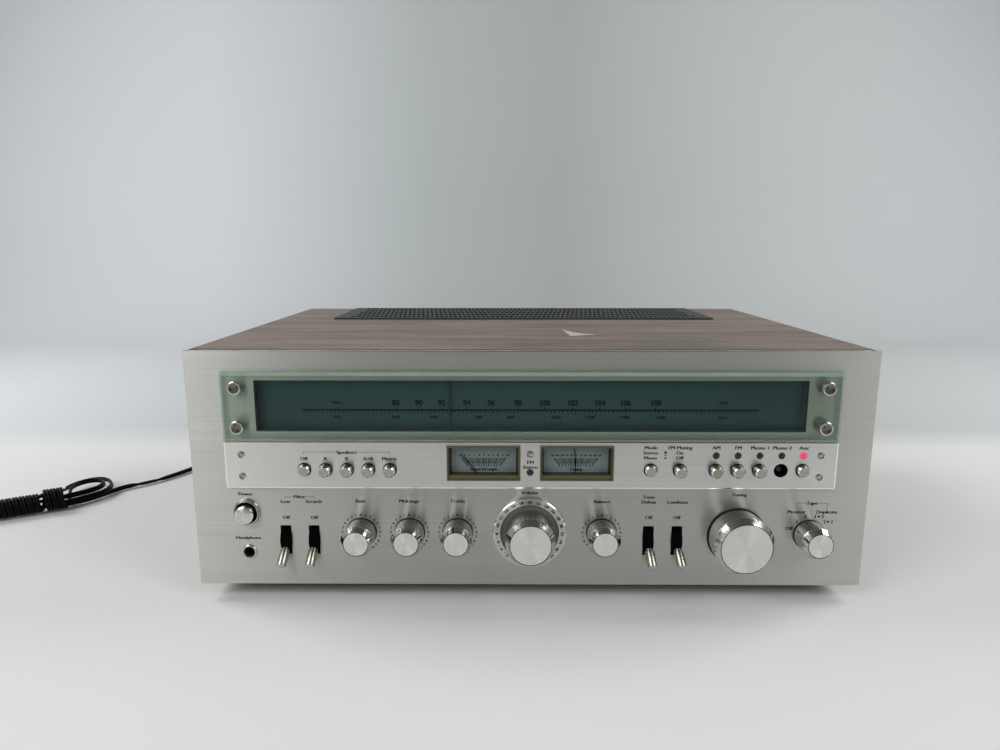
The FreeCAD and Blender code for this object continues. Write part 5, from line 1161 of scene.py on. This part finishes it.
class RECEIVER_OT_buttons(bpy.types.Operator):
    """Adds the strip's push buttons, the power button, the lamps and the headphone socket"""
    bl_idname = "receiver.buttons"
    bl_label = "Buttons and Lamps"

    def execute(self, context):
        for node in STRIP_BUTTONS:
            # One button's face is worn darker than the others.
            worn = "#a2988a" if node == "selector_button_1" else "#aeada4"
            face = turned_aluminium("spun_face_" + node, node, linear(worn), 0.28, 0.3, 0.7)
            side = turned_aluminium("turned_side_" + node, node, linear("#7c7c70"), 0.16, 0.4, 0.5)
            self.cap(node, STRIP_CAP, face, side)

        bm = bmesh.new()
        mouth = front("control_strip") - 0.03
        for node in STRIP_BUTTONS:
            x, height = centre(node)
            turned(bm, place(x, 0, height), [(4.5, mouth + 0.5), (4.55, mouth), (5.1, mouth)], steps=40)
        piece(bm, "button_hole_shadows", ["hole"])

        face = turned_aluminium("spun_power_face", "power_button", linear("#d0d0cc"), 0.28)
        side = turned_aluminium("turned_power_side", "power_button", linear("#b2b2ac"), 0.16, 0.5, 0.6)
        self.cap("power_button", POWER_CAP, face, side)
        self.lamps(front("control_strip"))

        bm = bmesh.new()
        end = span("headphone_jack")[1].y
        turned_all(bm, "headphone_jack", (
            (0, [(3.25, 13.8), (3.25, -0.5), (3.5, -0.8), (4.1, -0.9)]),
            (1, [(4.1, -0.9), (4.3, -1.2), (4.8, -1.2), (5.3, -0.9), (5.6, -0.4), (5.6, 0)]),
            (0, [(5.6, 0), (4.4, 0), (4.4, end), (0, end), (0, 13.8), (3.25, 13.8)])))
        piece(bm, "headphone_socket", ["black", "chrome"], replaces=["headphone_jack"])
        return {"FINISHED"}

    def cap(self, node, shape, face, side):
        """A turned cap: its face, its cut edge, and its side down to the end of its stem."""
        edge, reach, steps = shape
        start, end = (corner.y for corner in span(node))
        edge = [(radius, start + back) for radius, back in edge]
        rim = edge[-1][0]
        stem = [edge[-1], (rim, start + reach), (STEM_RADIUS, start + reach), (STEM_RADIUS, end), (0, end)]
        bm = bmesh.new()
        turned_all(bm, node, enumerate(([(0, start)] + edge[:2], edge[1:], stem)), steps)
        piece(bm, node + "_cap", [face, "cut_edge", side], body=node + "_body", replaces=[node])

    def lamps(self, strip):
        """A domed lens in a black ring over each selector, and one between the meters."""
        lit = centre("selector_button_5")[0]
        across = [centre(node)[0] for node in SELECTOR_BUTTONS + ["selector_stem_4"]]
        bm = bmesh.new()
        for x, height in [(x, SELECTOR_LAMP_ROW) for x in across] + [STEREO_LAMP]:
            axis = place(x, 0, height)
            turned(bm, axis, [(0, strip - 1.0), (1.2, strip - 0.85), (1.9, strip - 0.5), (2.25, strip),
                              (2.25, 12.0), (0, 12.0)], steps=32, index=1 if x == lit else 0)
            ring = [(2.28, strip - 0.02), (2.45, strip - 0.04), (2.5, strip), (2.5, 0.0), (2.28, 0.0)]
            turned(bm, axis, ring, steps=32, index=2, closed=True)
        piece(bm, "lamp_lenses", ["lens", "lit_lens", "black"], replaces=["indicator_lamps"])


# ---------------------------------------------------------------- knobs
class RECEIVER_OT_knobs(bpy.types.Operator):
    """Adds the turned knobs, each with its groove, cut rim, spun face and pointer mark"""
    bl_idname = "receiver.knobs"
    bl_label = "Knobs"

    def execute(self, context):
        for node in KNOB_SIZES:
            self.knob(node)
        return {"FINISHED"}

    def knob(self, node):
        """One knob, whose profile has its face, its groove, its rim and its back down to the shaft's end."""
        x, height = centre(node)
        start, end = (corner.y for corner in span(node))
        axis = place(x, 0, height)
        radius, body, face, rim = KNOB_SIZES[node]
        shoulder = start + rim
        spun_face = [(0, start), (face * 0.5, start), (face - 0.5, start)]
        groove = [(face - 0.5, start), (face - 0.45, start + 0.25), (face - 0.1, start + 0.25)]
        cut_rim = [(face - 0.1, start + 0.25), (face, start + 0.12), (radius - 0.15, shoulder - 0.3),
                   (radius, shoulder), (radius, shoulder + 0.7), (radius - 0.15, shoulder + 0.85),
                   (body - 0.5, shoulder + 1.0), (body - 0.5, shoulder + 1.8), (body - 0.15, shoulder + 1.9),
                   (body, shoulder + 2.05)]
        back = [(body, shoulder + 2.05), (body, -1.1), (body - 0.3, -0.8), (3.0, -0.8)]
        if node == "tuning_knob":
            # The flywheel, and the sleeve that the dial string runs on.
            back += [(3.0, 16.0), (21.0, 16.0), (21.0, 23.0), (8.0, 23.0), (8.0, end), (0, end)]
        else:
            back += [(3.0, end), (0, end)]
        bm = bmesh.new()
        turned_all(bm, node, ((0, spun_face), (3, groove), (1, cut_rim), (2, back)), 96)
        if node in KNOB_ANGLES:
            # The pointer mark is a black filled slot cut across the bright rim.
            slope = math.atan2(radius - face, rim)
            turn = Matrix.Translation(axis) @ Matrix.Rotation(math.radians(KNOB_ANGLES[node]), 4, "Y")
            middle = Vector((0, start + rim / 2, (face + radius) / 2)) * MM
            tilt = Matrix.Translation(middle) @ Matrix.Rotation(slope, 4, "X")
            half = math.hypot(radius - face, rim) / 2 * MM
            block(bm, Vector((-0.0006, -half, -0.0008)), Vector((0.0006, half, 0.00012)), 0.08, 1, index=3,
                  matrix=turn @ tilt)
        if node != "volume_knob":
            # A black ring round the knob's foot draws a thin dark line: painted shade where the knob meets
            # the panel.
            shadow_ring_radius = body + 0.035 * body
            turned(bm, axis, [(body - 0.3, -0.85), (shadow_ring_radius, -0.85), (shadow_ring_radius, -0.2), (body - 0.3, -0.2)],
                   steps=96, index=3, closed=True)
        spun = turned_aluminium("spun_face_" + node, node, linear("#dedbd8"), 0.34)
        side = turned_aluminium("turned_side_" + node, node, linear("#b6b6b0"), 0.22, 0.7, 0.7)
        piece(bm, node + "_turned", [spun, "cut_edge", side, "hole"], body=node + "_body", replaces=[node],
              sharp=18)


# ---------------------------------------------------------------- levers
# How far the levers stand below level at rest, in degrees, and where their drums' axle lies.
LEVER_TILT = 45
LEVER_AXLE = (5.0, 35.2)
HANDLE_REACH = 23.0
HANDLE_RADIUS = 3.5


class RECEIVER_OT_levers(bpy.types.Operator):
    """Adds the lever switches: a black drum in each slot and a bright round lever"""
    bl_idname = "receiver.levers"
    bl_label = "Levers"

    def execute(self, context):
        tilt = math.radians(LEVER_TILT)
        for node, leaning in LEVERS.items():
            lean = math.radians(leaning)
            # The handle's end is the node's outermost point on the side it leans to, so it gives the drum's
            # middle.
            side = -1 if leaning < 0 else 1
            outermost = span(node)[0 if leaning < 0 else 1].x
            axle_x = outermost - HANDLE_REACH * math.sin(lean) - side * HANDLE_RADIUS * math.cos(lean)
            axle = place(axle_x, *LEVER_AXLE)
            direction = Vector((math.sin(lean), -math.cos(tilt) * math.cos(lean),
                                -math.sin(tilt) * math.cos(lean)))
            bm = bmesh.new()
            turned(bm, axle, [(1.25, -3.4), (9.2, -3.4), (9.5, -3.1), (9.5, 3.1), (9.2, 3.4), (1.25, 3.4)],
                   axis=(1, 0, 0), steps=64, closed=True)
            turned(bm, axle, [(0, 8.0), (3.0, 8.0), (3.0, 9.3), (2.5, 9.5), (2.5, 10.1), (3.0, 10.3),
                              (3.0, 10.8), (HANDLE_RADIUS, 11.1), (HANDLE_RADIUS, 22.2), (3.2, 22.8)],
                   axis=direction, steps=40, index=1)
            turned(bm, axle, [(3.2, 22.8), (2.9, HANDLE_REACH), (0, HANDLE_REACH)], axis=direction, steps=40,
                   index=2)
            piece(bm, node + "_handle", ["drum", "nickel", "cut_edge"], body=node + "_body", replaces=[node],
                  sharp=30)
        return {"FINISHED"}


# ---------------------------------------------------------------- printing
# Function words with their places, on the panel and on the strip.
PANEL_WORDS = (
    ("Power", -207.2, 70.5), ("Headphone", -207.2, 36.7), ("Filter", -167.9, 68.5), ("Low", -178.4, 64.8),
    ("Scratch", -157.6, 64.9), ("Off", -178.4, 52.5), ("Off", -157.8, 52.5), ("Bass", -123.6, 65.3),
    ("Midrange", -87.8, 65.3), ("Treble", -52.6, 65.4), ("Volume", 0.0, 71.9), ("Balance", 52.7, 65.3),
    ("Tone", 86.6, 68.8), ("Defeat", 86.6, 65.0), ("Loudness", 107.5, 65.0), ("Off", 86.8, 53.1),
    ("Off", 107.4, 53.1), ("Tuning", 151.9, 70.7), ("Tape", 205.1, 64.5), ("Monitor", 194.2, 57.8),
    ("Duplicate", 216.4, 57.8), ("2", 200.8, 54.2), ("1", 195.2, 50.2), ("Off", 189.7, 45.0),
    ("1", 208.2, 54.2), ("2", 213.6, 54.2), ("2", 215.3, 50.2), ("1", 220.7, 50.2))
STRIP_WORDS = (
    ("Speakers", -131.5, 103.1), ("Off", -162.4, 98.3), ("A", -147.0, 98.3), ("B", -131.6, 98.3),
    ("A+B", -116.2, 98.3), ("Matrix", -101.0, 98.3), ("FM", 0.1, 95.8), ("Stereo", 0.1, 92.3),
    ("Mode", 85.9, 106.9), ("Stereo", 85.9, 103.1), ("Mono", 85.9, 99.3), ("FM Muting", 106.8, 106.9),
    ("On", 106.7, 103.1), ("Off", 106.7, 99.3), ("AM", 132.6, 106.9), ("FM", 148.2, 106.9),
    ("Phono 1", 163.6, 106.9), ("Phono 2", 179.4, 106.9), ("Aux", 194.8, 106.9))
# Brackets from a word down to what it covers: where each starts and ends across, its height and its foot.
PANEL_BRACKETS = ((-171.6, -178.4, 68.3, 67.0), (-164.2, -157.2, 68.3, 67.0),
                  (201.6, 194.5, 64.5, 60.3), (208.6, 216.2, 64.5, 60.3))
STRIP_BRACKETS = ((-138.6, -162.4, 103.1, 101.6), (-124.6, -100.8, 103.1, 101.6))
BRACKET_LINE = 0.25
TONE_KNOBS = ("bass_knob", "midrange_knob", "treble_knob", "balance_knob")
TONE_NUMBERS = 10
TONE_STEP = 14.6
TONE_RADIUS = 13.9
VOLUME_STEP = 7.6
VOLUME_RADIUS = 23.9
VOLUME_LAST = 38


class RECEIVER_OT_printing(bpy.types.Operator):
    """Prints the plain function words, brackets and numbers on the front"""
    bl_idname = "receiver.printing"
    bl_label = "Printing"

    def execute(self, context):
        sizes = context.scene.receiver_sizes
        ink = -0.04
        strip = front("control_strip") - 0.04
        bm = bmesh.new()
        for texts, brackets, depth in (
                (PANEL_WORDS, PANEL_BRACKETS, ink), (STRIP_WORDS, STRIP_BRACKETS, strip)):
            words(bm, [text + (sizes.label_height / MM, 0) for text in texts], depth)
            for start, end, height, foot in brackets:
                stroke(bm, (start, height), (end, height), BRACKET_LINE, depth)
                stroke(bm, (end, height + 0.12), (end, foot), BRACKET_LINE, depth)
        for x, height in ((210.8, 54.2), (217.9, 50.2)):
            self.arrow(bm, x, height, 1.8, 90, ink)
        self.arrow(bm, 96.5, 103.3, 2.0, 0, strip)
        stroke(bm, (95.9, 101.4), (97.1, 101.4), 0.8, strip)
        self.arrow(bm, 96.5, 99.2, 1.5, 0, strip)
        for node in TONE_KNOBS:
            x, height = centre(node)
            numbers = [(str(abs(value)), *around(x, height, TONE_RADIUS, value * TONE_STEP),
                        sizes.number_height / MM, 0) for value in range(-TONE_NUMBERS, TONE_NUMBERS + 1)]
            words(bm, numbers, ink)

        # The volume ring's numbers stand outwards, with dots between them.
        x, height = centre("volume_knob")
        ring = -2.22
        numbers = []
        for value in range(2, VOLUME_LAST + 1, 2):
            angle = (value - 20) * VOLUME_STEP
            numbers.append((str(value), *around(x, height, VOLUME_RADIUS, angle), 2.2, angle))
            if value < VOLUME_LAST:
                spot(bm, *around(x, height, VOLUME_RADIUS, angle + VOLUME_STEP), 0.35, ring)
        words(bm, numbers, ring, weight=0.06)
        piece(bm, "front_print", ["ink"], flat=True)
        return {"FINISHED"}

    def arrow(self, bm, x, height, size, turn, depth):
        """A small filled triangle, pointing up when its turn is nought."""
        matrix = (Matrix.Translation(place(x, depth, height)) @ Matrix.Rotation(math.radians(turn), 4, "Y")
                  @ Matrix.Rotation(math.pi / 2, 4, "X"))
        bmesh.ops.create_circle(bm, cap_ends=True, radius=size * 0.75 * MM, segments=3, matrix=matrix)


# ---------------------------------------------------------------- sidebar
OPERATORS = (RECEIVER_OT_stage, RECEIVER_OT_cord, RECEIVER_OT_cabinet, RECEIVER_OT_front, RECEIVER_OT_dial,
             RECEIVER_OT_meters, RECEIVER_OT_buttons, RECEIVER_OT_knobs, RECEIVER_OT_levers,
             RECEIVER_OT_printing)


class RECEIVER_PT_sidebar(bpy.types.Panel):
    bl_label = "Stereo Receiver"
    bl_idname = "RECEIVER_PT_sidebar"
    bl_space_type = "VIEW_3D"
    bl_region_type = "UI"
    bl_category = "Receiver"

    def draw(self, context):
        for group in (context.scene.receiver_sizes, context.scene.receiver_colours):
            for name in group.__annotations__:
                self.layout.prop(group, name)
        for operator in OPERATORS:
            self.layout.operator(operator.bl_idname)


CLASSES = (ReceiverSizes, ReceiverColours) + OPERATORS + (RECEIVER_PT_sidebar,)


def register():
    for made in CLASSES:
        bpy.utils.register_class(made)
    bpy.types.Scene.receiver_sizes = bpy.props.PointerProperty(type=ReceiverSizes)
    bpy.types.Scene.receiver_colours = bpy.props.PointerProperty(type=ReceiverColours)


def unregister():
    del bpy.types.Scene.receiver_colours
    del bpy.types.Scene.receiver_sizes
    for made in reversed(CLASSES):
        bpy.utils.unregister_class(made)


def main():
    register()
    for operator in OPERATORS:
        group, name = operator.bl_idname.split(".")
        getattr(getattr(bpy.ops, group), name)()


if __name__ == "__main__":
    main()
